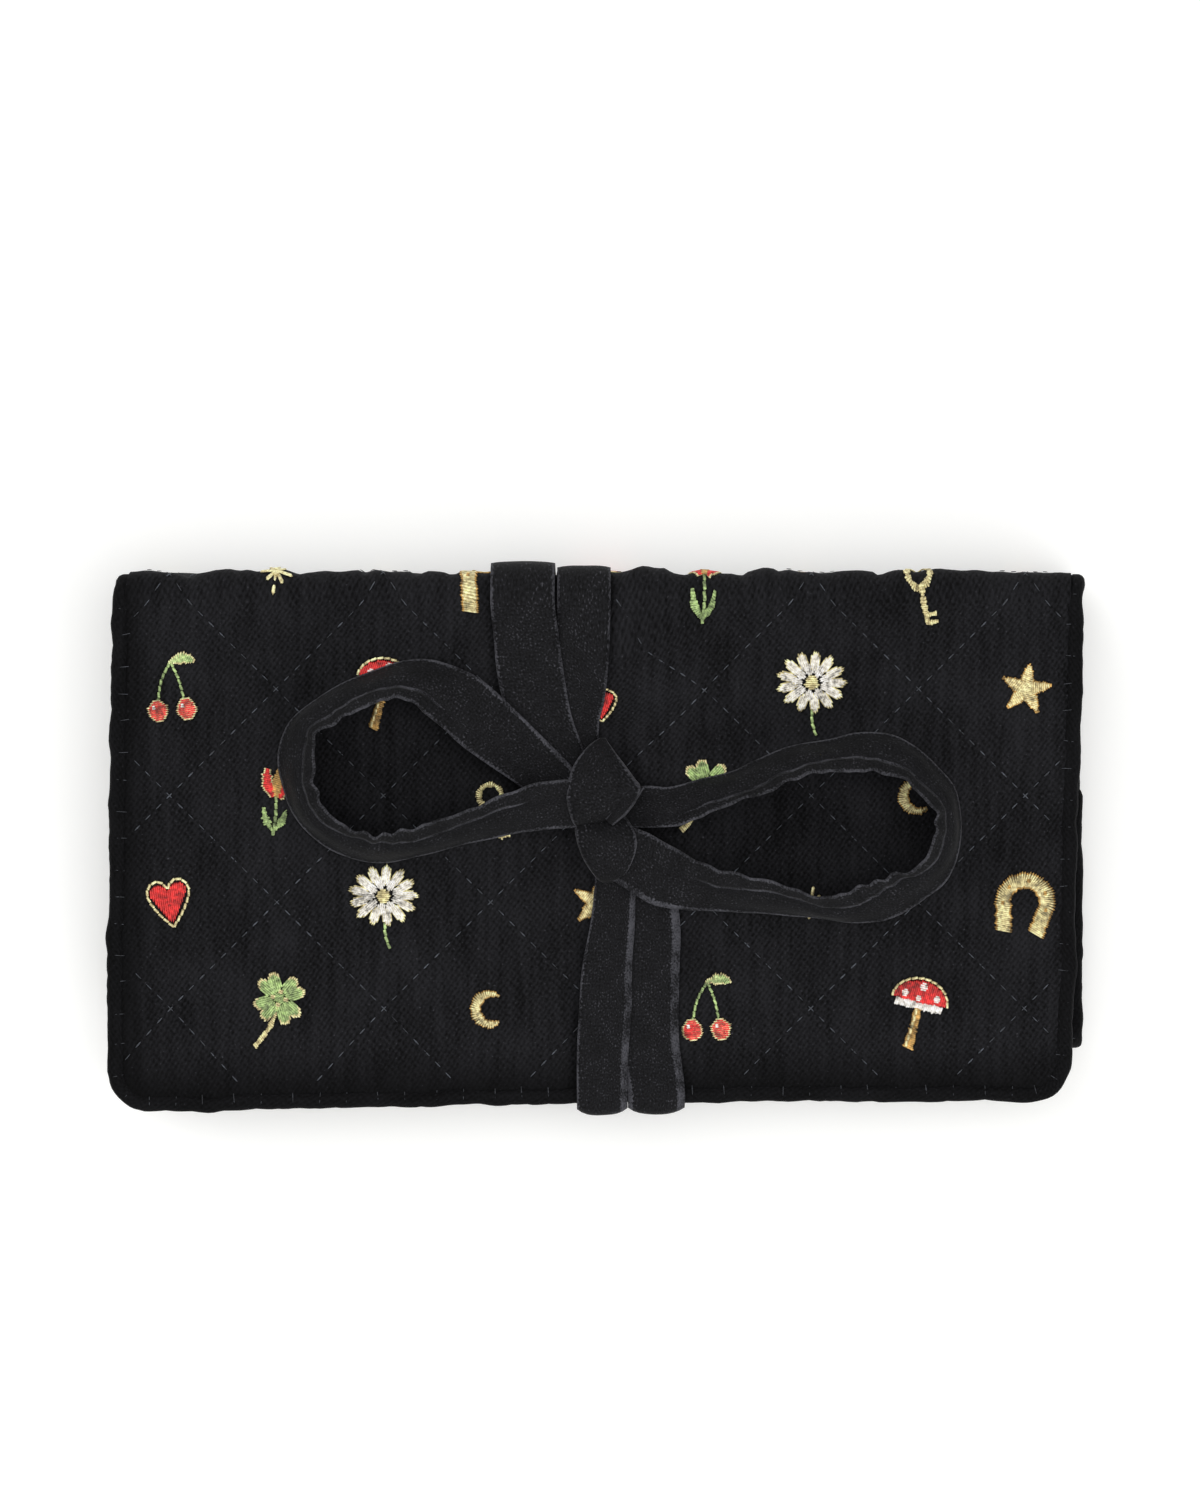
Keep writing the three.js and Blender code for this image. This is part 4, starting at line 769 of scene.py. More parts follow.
def studio_floor(name, shade):
    """Matt white paper: lit by the lamps, and lifted to white where the camera sees it."""
    material, tree, surface = start(name, {
        "Base Color": (*shade, 1), "Roughness": 0.9, "Specular IOR Level": 0.2,
        "Emission Color": (1, 1, 1, 1),
    })
    path = add(tree, "ShaderNodeLightPath")
    seen = add(
        tree, "ShaderNodeMath", {0: path.outputs["Is Camera Ray"], 1: path.outputs["Is Glossy Ray"]},
        operation="MAXIMUM")
    lift = add(tree, "ShaderNodeMath", {0: seen.outputs[0], 1: FLOOR_LIFT}, operation="MULTIPLY")
    tree.links.new(lift.outputs[0], surface.inputs["Emission Strength"])
    return material


class Finishes:
    """The roll's materials, made once from its colours."""

    def __init__(self, colours, ribbon):
        # The velvet's left and free edges are darkened by painted shade, to 0.2 of its colour.
        self.velvet = velveteen("cotton velveteen", colours.velvet, sheen=0.025, press_and_edge_shade=0.2)
        # The binding is drawn at 0.4 of the velvet's colour: painted shade along the sewn edges. It gets no
        # further edge shade.
        self.binding = velveteen("velveteen binding", scaled(colours.velvet, 0.4), sheen=0.025, press_and_edge_shade=1.0)
        self.ribbon = velvet_ribbon("velvet ribbon", colours.ribbon, ribbon.width)
        self.satin = satin_lining("polyester satin", colours.satin)
        self.stitch = sewing_thread("quilting thread", colours.stitch)
        self.seam = sewing_thread("polyester seam thread", colours.seam)
        self.edge_thread = sewing_thread("edge thread", colours.edge_thread)
        self.threads = {
            "gold": sewing_thread("gold foil thread", colours.gold, metallic=0.3, roughness=0.38),
            "white": sewing_thread("white rayon thread", colours.white),
            "red": sewing_thread("red rayon thread", colours.red),
            "green": sewing_thread("green rayon thread", colours.green),
            "orange": sewing_thread("copper foil thread", colours.orange, metallic=0.2, roughness=0.45),
        }
        self.tape = woven_tape("polyester zip tape", colours.tape)
        self.brass = cast_brass("cast brass", colours.brass)


class Roll:
    """What the operators share: settings, the strip and the finishes."""

    made = None

    def __init__(self, scene):
        self.panel = scene.roll_panel
        self.quilt = scene.roll_quilt
        self.ribbon = scene.roll_ribbon
        self.colours = scene.roll_colours
        self.strip = Strip(self.panel, self.quilt)
        self.finish = Finishes(self.colours, self.ribbon)

    @classmethod
    def of(cls, context):
        if cls.made is None:
            cls.made = cls(context.scene)
        return cls.made


# Panels: the strip is cut across its two spines and the back, so each stretch bends at one fold


# Each stretch: the bodies before and after its fold, the fold, and the corner's diagonal in y and z
STRETCHES = {
    "flap": ("top_spine", "flap", "flap_fold", (-1, 1)),
    "back": ("back", "top_spine", "top_fold", (1, 1)),
    "lower_back": ("back", "bottom_spine", "bottom_fold", (-1, 1)),
    "inner": ("bottom_spine", "inner", "inner_fold", (1, 1)),
}


def stretch_range(strip, name):
    """s where a stretch starts and ends."""
    cuts = {
        "flap": (0.0, strip.top_middle),
        "back": (strip.top_middle, strip.back_middle),
        "lower_back": (strip.back_middle, strip.low_middle),
        "inner": (strip.low_middle, strip.end),
    }
    return cuts[name]


def bend(piece):
    """Bakes the piece's transform into its mesh."""
    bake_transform(piece)


def stretch_block(strip, name, inset, under, over):
    """A stretch of cloth between two faces, drawn in from the sewn edges by an inset.

    under and over give the faces' t at a place.
    """
    low, high = stretch_range(strip, name)
    low += inset if name == "flap" else 0
    high -= inset if name == "inner" else 0
    left, right = strip.sides(strip.back_middle)
    step = strip.panel.step
    across = round((right - left) / step)
    along = round((high - low) / step)

    def shape(a, b):
        s = low + (high - low) * b
        left, right = strip.sides(s)
        x = left + inset + (right - left - 2 * inset) * a
        return (x, s), strip.place(x, s, under(x, s)), strip.place(x, s, over(x, s))

    return cloth_block(across, along, shape)


class ROLL_OT_panels(bpy.types.Operator):
    """Quilted panels: velvet over wadding, with a satin lining"""

    bl_idname = "jewelry_roll.panels"
    bl_label = "Quilted panels"

    REPLACES = {
        "flap": (["flap_cover", "flap_wadding", "flap_fold_roll"], ["flap_lining"]),
        "back": (["back_cover", "back_wadding", "top_fold_roll", "spine_cover", "spine_wadding"],
                 ["back_lining", "spine_lining"]),
        "lower_back": (["bottom_fold_roll"], []),
        "inner": (["inner_cover", "inner_wadding", "inner_fold_roll", "bottom_spine"], ["inner_lining"]),
    }

    TUCKED = 0.75  # share of the binding's width that lies over the panel
    CLEAR = 0.05 * MM  # from the lining to the wadding

    def execute(self, context):
        roll = Roll.of(context)
        strip = roll.strip
        inset = roll.panel.binding * self.TUCKED

        def under(x, s):
            return strip.satin(x, s) + roll.panel.lining

        for name, (outer, inner) in self.REPLACES.items():
            bm = stretch_block(strip, name, inset, under, strip.velvet)
            quilted = finish_piece(f"{name}_quilting", bm, roll.finish.velvet)
            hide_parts(*outer)
            bend(quilted)
            bm = stretch_block(strip, name, inset, strip.satin, lambda x, s: under(x, s) - self.CLEAR)
            lining = finish_piece(f"{name}_satin", bm, roll.finish.satin)
            left, right = strip.sides(strip.back_middle)
            if inner:
                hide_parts(*inner)
            bend(lining)
        return {"FINISHED"}


def edge_route(strip, name):
    """A stretch's sewn edges, as lists of (place, way out), one list for each run."""
    low, high = stretch_range(strip, name)
    step = strip.panel.step
    count = round((high - low) / step)
    places = [low + (high - low) * k / count for k in range(count + 1)]
    left, right = ([Vector((strip.sides(s)[side], s)) for s in places] for side in (0, 1))
    if name == "flap":
        free, corner, away = low, strip.panel.flap_corner, 1
    elif name == "inner":
        free, corner, away = high, strip.panel.inner_corner, -1
    else:
        return [with_outward(left), with_outward(right)]

    def before_corner(side):
        """A side's places from the fold to the round corner."""
        straight = [p for p in side if abs(p.y - free) > corner]
        return sorted(straight, key=lambda p: -abs(p.y - free))

    first, last = strip.sides(free)
    turns = round(corner * math.pi / 2 / step)
    bottom = round((last - first) / step)
    turned = []
    for k in range(1, turns):
        angle = math.pi / 2 * k / turns
        turned.append((corner * math.cos(angle), corner * math.sin(angle)))
    walk = before_corner(left)
    walk += [Vector((first - c, free + away * (corner - d))) for c, d in turned]
    walk += [Vector((first + (last - first) * k / bottom, free)) for k in range(bottom + 1)]
    walk += [Vector((last + c, free + away * (corner - d))) for c, d in reversed(turned)]
    walk += reversed(before_corner(right))
    return [with_outward(walk)]


def with_outward(walk):
    """The walk's places, each with the way out of the panel there."""
    centre = Vector((0, sum(p.y for p in walk) / len(walk)))
    made = []
    for k, point in enumerate(walk):
        run = walk[min(k + 1, len(walk) - 1)] - walk[max(k - 1, 0)]
        out = Vector((run.y, -run.x)).normalized()
        if out.dot(point - centre) < 0:
            out = -out
        made.append((point, out))
    return made


class ROLL_OT_edges(bpy.types.Operator):
    """Bound edges: a soft bead of velvet, nipped by its stitches"""

    bl_idname = "jewelry_roll.edges"
    bl_label = "Bound edges"

    REPLACES = {
        "flap": ["flap_binding"],
        "back": ["back_binding_left", "back_binding_right", "spine_binding_left", "spine_binding_right"],
        "lower_back": [],
        "inner": ["inner_binding"],
    }
    RING = 14  # mesh steps round the bead
    NIP = 0.07  # share of its size that a stitch nips in
    DRIFT = 1.5  # how far the nips wander, in stitches
    UNEVEN = 0.05  # share of its size that comes and goes
    FINE = 0.7  # height of the fine waves of its course, as a share of the broad ones
    SQUARE = 0.8  # below 1, its section is squarer than an ellipse
    TURNS = 4  # widths of cloth once round it

    def execute(self, context):
        roll = Roll.of(context)
        for name, nodes in self.REPLACES.items():
            for k, walk in enumerate(edge_route(roll.strip, name)):
                bm = self.bead(roll, walk)
                label = f"{name}_edge" if len(nodes) == 1 else f"{name}_edge_{('left', 'right')[k]}"
                piece = finish_piece(label, bm, roll.finish.binding)
                side = [n for n in nodes if len(nodes) == 1 or n.endswith(("left", "right")[k])]
                if side:
                    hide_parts(*side)
                bend(piece)
        return {"FINISHED"}

    def bead(self, roll, walk):
        """A tube of cloth along a sewn edge, just inside it."""
        strip, panel, quilt = roll.strip, roll.panel, roll.quilt
        places = so_far((b - a).length for (a, _), (b, _) in zip(walk, walk[1:]))

        def shape(turn, share):
            k = round(share * (len(walk) - 1))
            point, out = walk[k]
            drift = self.DRIFT * noise.noise((places[k] / (17 * MM), 0.5, 6.1))
            nip = 0.5 + 0.5 * math.cos(2 * math.pi * (places[k] / quilt.edge_pitch + drift))
            full = 1 - self.NIP * nip ** 6 + self.UNEVEN * noise.noise((places[k] / (9 * MM), 2.5, 0.4))
            wander = panel.edge_wave * ripple(point.x, 16, point.y, 16, 3.7)
            wander += panel.edge_wave * self.FINE * ripple(point.x, 5, point.y, 5, 1.9)
            angle = 2 * math.pi * turn
            cosine, sine = math.cos(angle), math.sin(angle)
            wide = panel.binding / 2 * full * math.copysign(abs(cosine) ** self.SQUARE, cosine)
            high = panel.binding_height / 2 * full * math.copysign(abs(sine) ** self.SQUARE, sine)
            flat = point + out * (wide - panel.binding / 2 + wander)
            uv = (turn * self.TURNS * panel.binding, places[k])
            return uv, strip.place(flat.x, flat.y, high * strip.thin(point.y))

        return tube_block(self.RING, len(walk) - 1, shape)


class ROLL_OT_stitches(bpy.types.Operator):
    """Quilting stitches along the diagonals, and stitches over the bound edges"""

    bl_idname = "jewelry_roll.stitches"
    bl_label = "Stitches"

    LINES = 8  # stitch lines of one family on both sides of its middle one
    REACH = 0.3  # half the length of a stitch line in metres, past every edge
    LOFT = 0.3 * MM  # from the velvet to the middle of a quilting stitch
    TIGHT = 0.7  # how much the thickness of the quilting stitches comes and goes
    LOOSE = 0.8 * MM  # how far an edge stitch may miss its place
    PAST = 0.3 * MM  # how far past the binding an edge stitch reaches
    OVER = 0.45  # share of the binding's width where it ends
    SUNK = 0.52  # share of half the panel's thickness that it starts at
    CLEAR = 0.05 * MM  # how far it stays over the binding
    FINE = 0.7  # share of the quilting thread's width

    def execute(self, context):
        roll = Roll.of(context)
        for name in STRETCHES:
            for label, sew, thread in (
                ("stitches", self.quilting, roll.finish.stitch),
                ("edge_stitches", self.edges, roll.finish.edge_thread),
            ):
                bm = bmesh.new()
                sew(bm, roll, name)
                piece = finish_piece(f"{name}_{label}", bm, thread)
                bend(piece)
        return {"FINISHED"}

    def quilting(self, bm, roll, name):
        """Running stitches along both families of diagonals."""
        strip, quilt = roll.strip, roll.quilt
        low, high = stretch_range(strip, name)
        clear = roll.panel.binding + quilt.thread
        count = round(self.REACH / quilt.stitch_pitch)
        for sign in (1, -1):
            for n in range(-self.LINES, self.LINES + 1):
                line = bmesh.new()
                middle = n * quilt.pitch / 2
                for k in range(-count, count):
                    ends = []
                    for half in (-0.5, 0.5):
                        along = (k * quilt.stitch_pitch + half * quilt.stitch) / math.sqrt(2)
                        ends.append((middle + along, strip.origin + sign * (middle - along)))
                    if all(low < s < high and strip.to_edge(x, s) > clear for x, s in ends):
                        self.stitch(line, strip, ends, quilt.thread)
                move_into(bm, line)

    def edges(self, bm, roll, name):
        """Short stitches over the bound edges."""
        strip, quilt, panel = roll.strip, roll.quilt, roll.panel
        for walk in edge_route(strip, name):
            gone = quilt.edge_pitch / 2
            for (a, out), (b, _) in zip(walk, walk[1:]):
                gone += (b - a).length
                if gone < quilt.edge_pitch:
                    continue
                gone -= quilt.edge_pitch
                loose = self.LOOSE * ripple(a.x, 3, a.y, 3, 8)
                lean = Vector((out.y, -out.x)) * loose
                inner = a - out * (panel.binding + self.PAST + loose) + lean
                outer = a - out * (panel.binding * self.OVER + loose)
                low = self.SUNK * panel.panel / 2 * strip.thin(a.y)
                high = (panel.binding_height / 2 + self.CLEAR) * strip.thin(a.y)
                _, up = strip.middle(a.y)
                add_bead(
                    bm, strip.place(*inner, low), strip.place(*outer, high),
                    Vector((0, up.x, up.y)), self.FINE * quilt.thread)

    def stitch(self, bm, strip, ends, thread):
        """One quilting stitch between two places on the velvet."""
        a, b = (strip.place(x, s, strip.velvet(x, s) + self.LOFT) for x, s in ends)
        x, s = ends[0]
        _, out = strip.middle(s)
        tight = 1 + self.TIGHT * ripple(x, 1.3, s, 1.3, 0)
        add_bead(bm, a, b, Vector((0, out.x, out.y)), thread * tight)


# Embroidery: small good-luck charms, one in the middle of each quilted square


class Needle:
    """Sews stitches on the velvet. Places are in millimetres from a charm's middle."""

    THREADS = ("gold", "white", "red", "green", "orange")
    THREAD = 0.54  # width of a laid thread
    SPACING = 0.45  # from one satin stitch to the next
    ALONG = 1.5  # from one stitch to the next where they follow a line
    NARROW = 1.0  # a line narrower than this is sewn along, not across
    RAGGED = 0.5  # how far the ends of a stitch may miss the outline
    LEAN = 0.1  # how far a stitch leans to one side
    LIFT = 0.12  # from the velvet to a stitch's ends
    LAYER = 0.11  # how much higher a stitch on another one is
    BULGE = 0.2  # how much higher a long stitch is in its middle
    HEIGHT = 0.45  # thickness of a laid thread
    LONG = 3  # a stitch from this length bulges in full

    def __init__(self, strip):
        self.strip = strip
        self.sewn = bmesh.new()

    def sew(self, charm, x, s, turn):
        """Sews one charm with its middle at a place."""
        self.middle = (x, s)
        self.turn = turn
        self.layer = 0
        self.bm = bmesh.new()
        charm(self)
        move_into(self.sewn, self.bm)

    def on_velvet(self, x, y, lift):
        """Where a place of the charm lies on the roll, at a height over the velvet."""
        cosine, sine = math.cos(self.turn), math.sin(self.turn)
        across = self.middle[0] + (x * cosine - y * sine) * MM
        along = self.middle[1] + (x * sine + y * cosine) * MM
        return self.strip.place(across, along, self.strip.velvet(across, along) + lift * MM)

    def miss(self, x, y):
        """How far a stitch that starts at a place misses the outline."""
        charm = self.middle[0] / (9 * MM) + self.middle[1] / (7 * MM)
        return self.RAGGED * noise.noise((x * 1.7, y * 1.7, charm))

    def stitch(self, thread, a, b, wide=THREAD):
        """One laid thread between two places, highest in its middle."""
        middle = (a + b) / 2
        run = b - a
        side = Vector((-run.y, run.x)).normalized() * wide
        bulge = self.BULGE * min(run.length / self.LONG, 1)
        made = bmesh.ops.create_uvsphere(self.bm, u_segments=6, v_segments=3, radius=0.5)["verts"]
        for vert in made:
            up, across, along = vert.co
            if abs(along) < 0.45:  # a ring of the sphere and not its pole
                along *= 1.6
            place = middle + run * along + side * across
            lift = self.LIFT + self.LAYER * self.layer + bulge * (1 - 4 * along ** 2) + self.HEIGHT * up
            vert.co = self.on_velvet(place.x, place.y, lift)
        for face in {face for vert in made for face in vert.link_faces}:
            face.material_index = self.THREADS.index(thread)

    def run(self, thread, points):
        """A line through (x, y, width): stitches across it, or along it where it is narrow."""
        narrow = max(width for _, _, width in points) < self.NARROW
        route = evenly(curve_through(points, 10 * len(points)), self.ALONG if narrow else self.SPACING)
        for here, there in zip(route, route[1:]):
            ahead = (there - here).xy.normalized()
            side = Vector((-ahead.y, ahead.x))
            if narrow:
                self.stitch(thread, here.xy - self.LEAN * side, there.xy + self.LEAN * side, here.z)
            else:
                reach = side * (here.z / 2 + self.miss(here.x, here.y)) + ahead * self.LEAN * here.z
                self.stitch(thread, here.xy - reach, here.xy + reach)
        self.layer += 1

    def spot(self, thread, x, y, wide, high, turn=0.0):
        """A round or oval patch of stitches along its first side, which is turned by degrees."""
        ahead = Vector((math.cos(math.radians(turn)), math.sin(math.radians(turn))))
        side = Vector((-ahead.y, ahead.x))
        count = max(round(high / self.SPACING), 2)
        for k in range(count):
            off = (k + 0.5) / count - 0.5
            middle = Vector((x, y)) + side * off * high
            miss = self.miss(middle.x, middle.y) * min(wide / self.LONG, 1)
            reach = wide * math.sqrt(0.25 - off ** 2) + miss
            self.stitch(thread, middle - ahead * reach, middle + ahead * reach)
        self.layer += 1

    def fill(self, thread, reach, edges):
        """Upright stitches from -reach to reach, between the low and the high edge at each x."""
        count = round(2 * reach / self.SPACING)
        for k in range(count):
            x = reach * (2 * (k + 0.5) / count - 1)
            low, high = edges(x)
            miss = self.miss(x, low)
            self.stitch(thread, Vector((x - self.LEAN, low - miss)), Vector((x + self.LEAN, high + miss)))
        self.layer += 1


def evenly(route, pitch):
    """Places along a route at even steps of about a pitch, measured in its first two values."""
    gone = so_far((b - a).xy.length for a, b in zip(route, route[1:]))
    count = max(round(gone[-1] / pitch), 1)
    made = []
    k = 0
    for n in range(count + 1):
        want = gone[-1] * n / count
        while k < len(route) - 2 and gone[k + 1] < want:
            k += 1
        made.append(route[k].lerp(route[k + 1], (want - gone[k]) / max(gone[k + 1] - gone[k], 1e-9)))
    return made


def arc_points(radius, start_degrees, end_degrees, count, width):
    """Points of an arc for a run of stitches; width(share) gives the width along it."""
    made = []
    for k in range(count + 1):
        share = k / count
        angle = math.radians(start_degrees + (end_degrees - start_degrees) * share)
        made.append((radius * math.cos(angle), radius * math.sin(angle), width(share)))
    return made


def mirrored(points):
    """The points of a run of stitches on the charm's other side."""
    return [(-x, y, width) for x, y, width in points]


def daisy(needle):
    needle.run("green", [(0.4, -3, 0.8), (0.2, -7, 0.8), (1.2, -10.5, 0.7)])
    for ring, count, reach, petal in ((0, 13, 5, 5), (1, 9, 3.2, 3.8)):
        for k in range(count):
            angle = 2 * math.pi * (k + 0.5 * ring) / count
            x, y = reach * 1.08 * math.cos(angle), 1.5 + reach * 0.92 * math.sin(angle)
            needle.layer = ring + k % 2
            if ring == 0:
                needle.spot("gold", 1.04 * x, 1.04 * y, petal, 2.2, math.degrees(angle))
            needle.spot("white", x, y, petal - 0.5, 1.8, math.degrees(angle))
    needle.layer = 3
    needle.spot("gold", 0, 1.5, 3.4, 3.2)


def horseshoe(needle):
    route = [(-3.6, -7, 3.2), *arc_points(5, 205, -25, 8, lambda u: 3.3), (3.6, -7, 3.2)]
    needle.run("orange", [(x, y, width + 0.8) for x, y, width in route])
    needle.run("gold", route)
    for degrees in (190, 145, 90, 35, -10):
        angle = math.radians(degrees)
        needle.layer = 3
        needle.spot("orange", 5 * math.cos(angle), 5 * math.sin(angle), 0.9, 0.9)


def toadstool(needle):
    needle.run("orange", [(0, -9, 2.6), (0.1, -4, 2), (0, 1, 1.8)])
    needle.run("gold", [(-0.6, -9, 0.8), (-0.3, -4, 0.8), (-0.2, 0, 0.8)])
    needle.layer = 1
    needle.fill("white", 5.4, lambda x: (-0.2, 1.8))
    needle.fill("red", 6, lambda x: (1.2 + x ** 2 / 60, 1.5 + 5.2 * math.sqrt(max(1 - (x / 6.2) ** 2, 0))))
    rim = [(6.4 * math.cos(t * math.pi / 8), 1.6 + 5.4 * math.sin(t * math.pi / 8), 0.7) for t in range(9)]
    needle.run("gold", rim)
    for x, y, size in ((-3.6, 3, 1.7), (0.2, 5.2, 1.9), (3.7, 3.1, 1.6), (-0.4, 2.4, 1.3)):
        needle.layer = 3
        needle.spot("white", x, y, size, size)


def clover(needle):
    needle.run("gold", [(0, 1, 1), (-0.8, -4, 1.1), (-3.4, -9, 1.2)])
    for quarter in range(4):
        for side in (-1, 1):
            angle = math.radians(45 + 90 * quarter + 17 * side)
            x, y = math.cos(angle), math.sin(angle)
            needle.layer = quarter % 2
            needle.spot("gold", 4.6 * x, 2.5 + 4.6 * y, 3.2, 2.6, math.degrees(angle))
            needle.spot("green", 3.4 * x, 2.5 + 3.4 * y, 4.6, 2.8, math.degrees(angle))
    needle.layer = 1
    needle.spot("green", 0, 2.5, 2.6, 2.6, 45)
    for quarter in range(4):
        angle = math.pi / 2 * quarter
        needle.layer = 3
        needle.spot("gold", 1.5 * math.cos(angle), 2.5 + 1.5 * math.sin(angle), 1.3, 0.9)


def star(needle):
    for thread, grown in (("orange", 0.5), ("gold", 0)):
        for k in range(5):
            angle = math.radians(90 + 72 * k)
            tip = ((5.6 + grown) * math.cos(angle), (5.6 + grown) * math.sin(angle), 0.4)
            half = (2.3 * math.cos(angle), 2.3 * math.sin(angle), 2.9 + grown)
            needle.layer = k % 2 + (1 if thread == "gold" else 0)
            needle.run(thread, [(0, 0, 2.6), half, tip])


def heart(needle):
    def edges(x):
        wide = abs(x)
        return -5 + 7 * (wide / 4.2) ** 1.15, 2.4 + math.sqrt(max(2.1 ** 2 - (wide - 2.1) ** 2, 0))

    needle.fill("red", 4.1, edges)
    outline = [(0, 3.1, 0.7), (1.4, 5, 0.7), (3.6, 4.7, 0.7), (4.8, 2.2, 0.7), (3, -1.8, 0.7), (0, -5.6, 0.7)]
    for points in (outline, mirrored(outline)):
        needle.layer = 1
        needle.run("gold", points)


def crescent(needle):
    route = arc_points(3.4, 55, 305, 10, lambda u: 0.4 + 1.8 * math.sin(math.pi * u))
    needle.run("orange", [(x, y, width + 0.5) for x, y, width in route])
    needle.run("gold", route)


def ray_star(needle):
    for k in range(8):
        angle = math.radians(45 * k + 22.5)
        reach = 3.8 if k % 2 else 2.7
        needle.layer = k % 2
        needle.stitch("gold", Vector((0, 0)), Vector((reach * math.cos(angle), reach * math.sin(angle))), 0.9)
    needle.spot("gold", 0, 0, 1.8, 1.8)


def tulip(needle):
    needle.run("green", [(0, 0, 0.8), (0.3, -5, 0.9), (0, -9, 0.9)])
    leaf = [(0, -8, 0.6), (1.8, -5.5, 1.6), (2.6, -2.6, 0.4)]
    for points in (leaf, mirrored(leaf)):
        needle.layer = 1
        needle.run("green", points)
    petal = [(0.6, 0, 1.4), (2.2, 2.8, 2.3), (2.5, 6.2, 0.5)]
    for thread, grown in (("gold", 0.8), ("red", 0)):
        for points in (petal, mirrored(petal)):
            needle.layer = 0 if thread == "gold" else 1
            needle.run(thread, [(x, y, width + grown) for x, y, width in points])
    needle.run("orange", [(0, 0, 1.4), (0, 3, 2.4), (0, 6.4, 0.5)])


def cherries(needle):
    needle.run("green", [(-3, -3, 0.7), (-1.4, 2, 0.7), (1.4, 6, 0.8)])
    needle.run("green", [(3, -3.6, 0.7), (2.6, 1.6, 0.7), (1.4, 6, 0.8)])
    needle.run("gold", [(1.2, 6, 0.6), (4.2, 6.4, 3), (7, 5.1, 0.5)])
    needle.run("green", [(1.4, 6, 0.4), (4.2, 6.4, 2.2), (6.6, 5.2, 0.4)])
    for x, y in ((-3.2, -4.4), (3.2, -5)):
        needle.layer = 1
        needle.spot("gold", x, y, 5, 5)
        needle.spot("red", x, y, 4.4, 4.4)
        needle.spot("white", x - 0.8, y + 0.9, 0.9, 0.9)


def key(needle):
    needle.run("gold", arc_points(2.6, -90, 270, 12, lambda u: 1.3))
    needle.run("gold", [(0, -2.4, 1.3), (0, -6, 1.2), (0, -10, 1.2)])
    for y in (-7.6, -9.4):
        needle.run("gold", [(0.4, y, 1.1), (1.4, y, 1.1), (2.6, y, 1)])


CHARMS = (
    daisy, crescent, horseshoe, heart, clover, ray_star, toadstool, key, star, cherries, tulip,
)


class ROLL_OT_embroidery(bpy.types.Operator):
    """Embroidered charms, one in the middle of each quilted square"""

    bl_idname = "jewelry_roll.embroidery"
    bl_label = "Embroidery"

    ROWS, COLUMNS = range(-4, 12), range(-5, 6)  # half squares from the quilting's middle
    TO_CUT, TO_EDGE = 4 * MM, 9 * MM  # from a charm's middle to the stretch's ends and to a sewn edge
    LEAN = 0.25  # how far a charm may lean, in radians

    def execute(self, context):
        roll = Roll.of(context)
        strip = roll.strip
        pitch = roll.quilt.pitch / 2
        for name in STRETCHES:
            low, high = stretch_range(strip, name)
            needle = Needle(strip)
            for row in self.ROWS:
                for column in self.COLUMNS:
                    if (row + column) % 2 == 0:
                        continue
                    x, s = column * pitch, strip.origin + row * pitch
                    if low + self.TO_CUT < s < high - self.TO_CUT and strip.to_edge(x, s) > self.TO_EDGE:
                        charm = CHARMS[(3 * row + 4 * column) % len(CHARMS)]
                        needle.sew(charm, x, s, self.LEAN * math.sin(5.1 * column + 2.3 * row))
            threads = [roll.finish.threads[thread] for thread in Needle.THREADS]
            piece = finish_piece(f"{name}_embroidery", needle.sewn, threads)
            bend(piece)
        return {"FINISHED"}


# Ribbon


RIBBON_GAP = 0.1 * MM  # from the ribbon to what it lies on
CROWN = 0.25 * MM  # how far a strand rises in its middle
TURN_CROWN = 1.1 * MM  # the same where it turns over an edge
STRAND_CREASE = 0.12 * MM  # height of the creases along a strand
SELVEDGE_LOSS = 0.55  # share of the ribbon's thickness that is lost at its selvedges


def half_pile(ribbon, a):
    """Half the ribbon's thickness at a share of its width."""
    return ribbon.thickness / 2 * (1 - SELVEDGE_LOSS * abs(2 * a - 1) ** 6)


def strap(roll, name, stations, nodes, rolled=(1, 1)):
    """A strand of ribbon over a stretch, through (x, s, t, width), with its width across the panel.

    rolled is how much wider than flat its left and right selvedge show, where the edge has turned up.
    """
    strip, ribbon = roll.strip, roll.ribbon
    route = curve_through(stations, ribbon.steps)
    facing = math.copysign(1, stations[-1][1] - stations[0][1])
    run = so_far(math.dist(a[1:3], b[1:3]) for a, b in zip(route, route[1:]))

    def shape(a, b):
        k = round(b * ribbon.steps)
        x, s, t, width = route[k]
        before, after = route[max(k - 1, 0)], route[min(k + 1, ribbon.steps)]
        along, rise = after[1] - before[1], after[2] - before[2]
        span = math.hypot(along, rise) or 1
        face_s, face_t = facing * rise / span, -facing * along / span
        across = abs(2 * a - 1)
        crown = CROWN * (1 - across ** 2) + TURN_CROWN * face_s ** 2 * (1 - across ** 3)
        crown += STRAND_CREASE * noise.noise((a * 3, run[k] / (9 * MM), x / MM))
        thick = half_pile(ribbon, a)
        place = x + (a - 0.5) * width
        points = []
        for lift in (-thick, thick):
            off = -(crown + lift)
            points.append(strip.place(place, s + face_s * off, t + face_t * off))
        return ((a - 0.5) * ribbon.width * rolled[a > 0.5], run[k]), points[0], points[1]

    bm = cloth_block(10, ribbon.steps, shape)
    piece = finish_piece(name, bm, roll.finish.ribbon)
    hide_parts(*nodes)
    bend(piece)


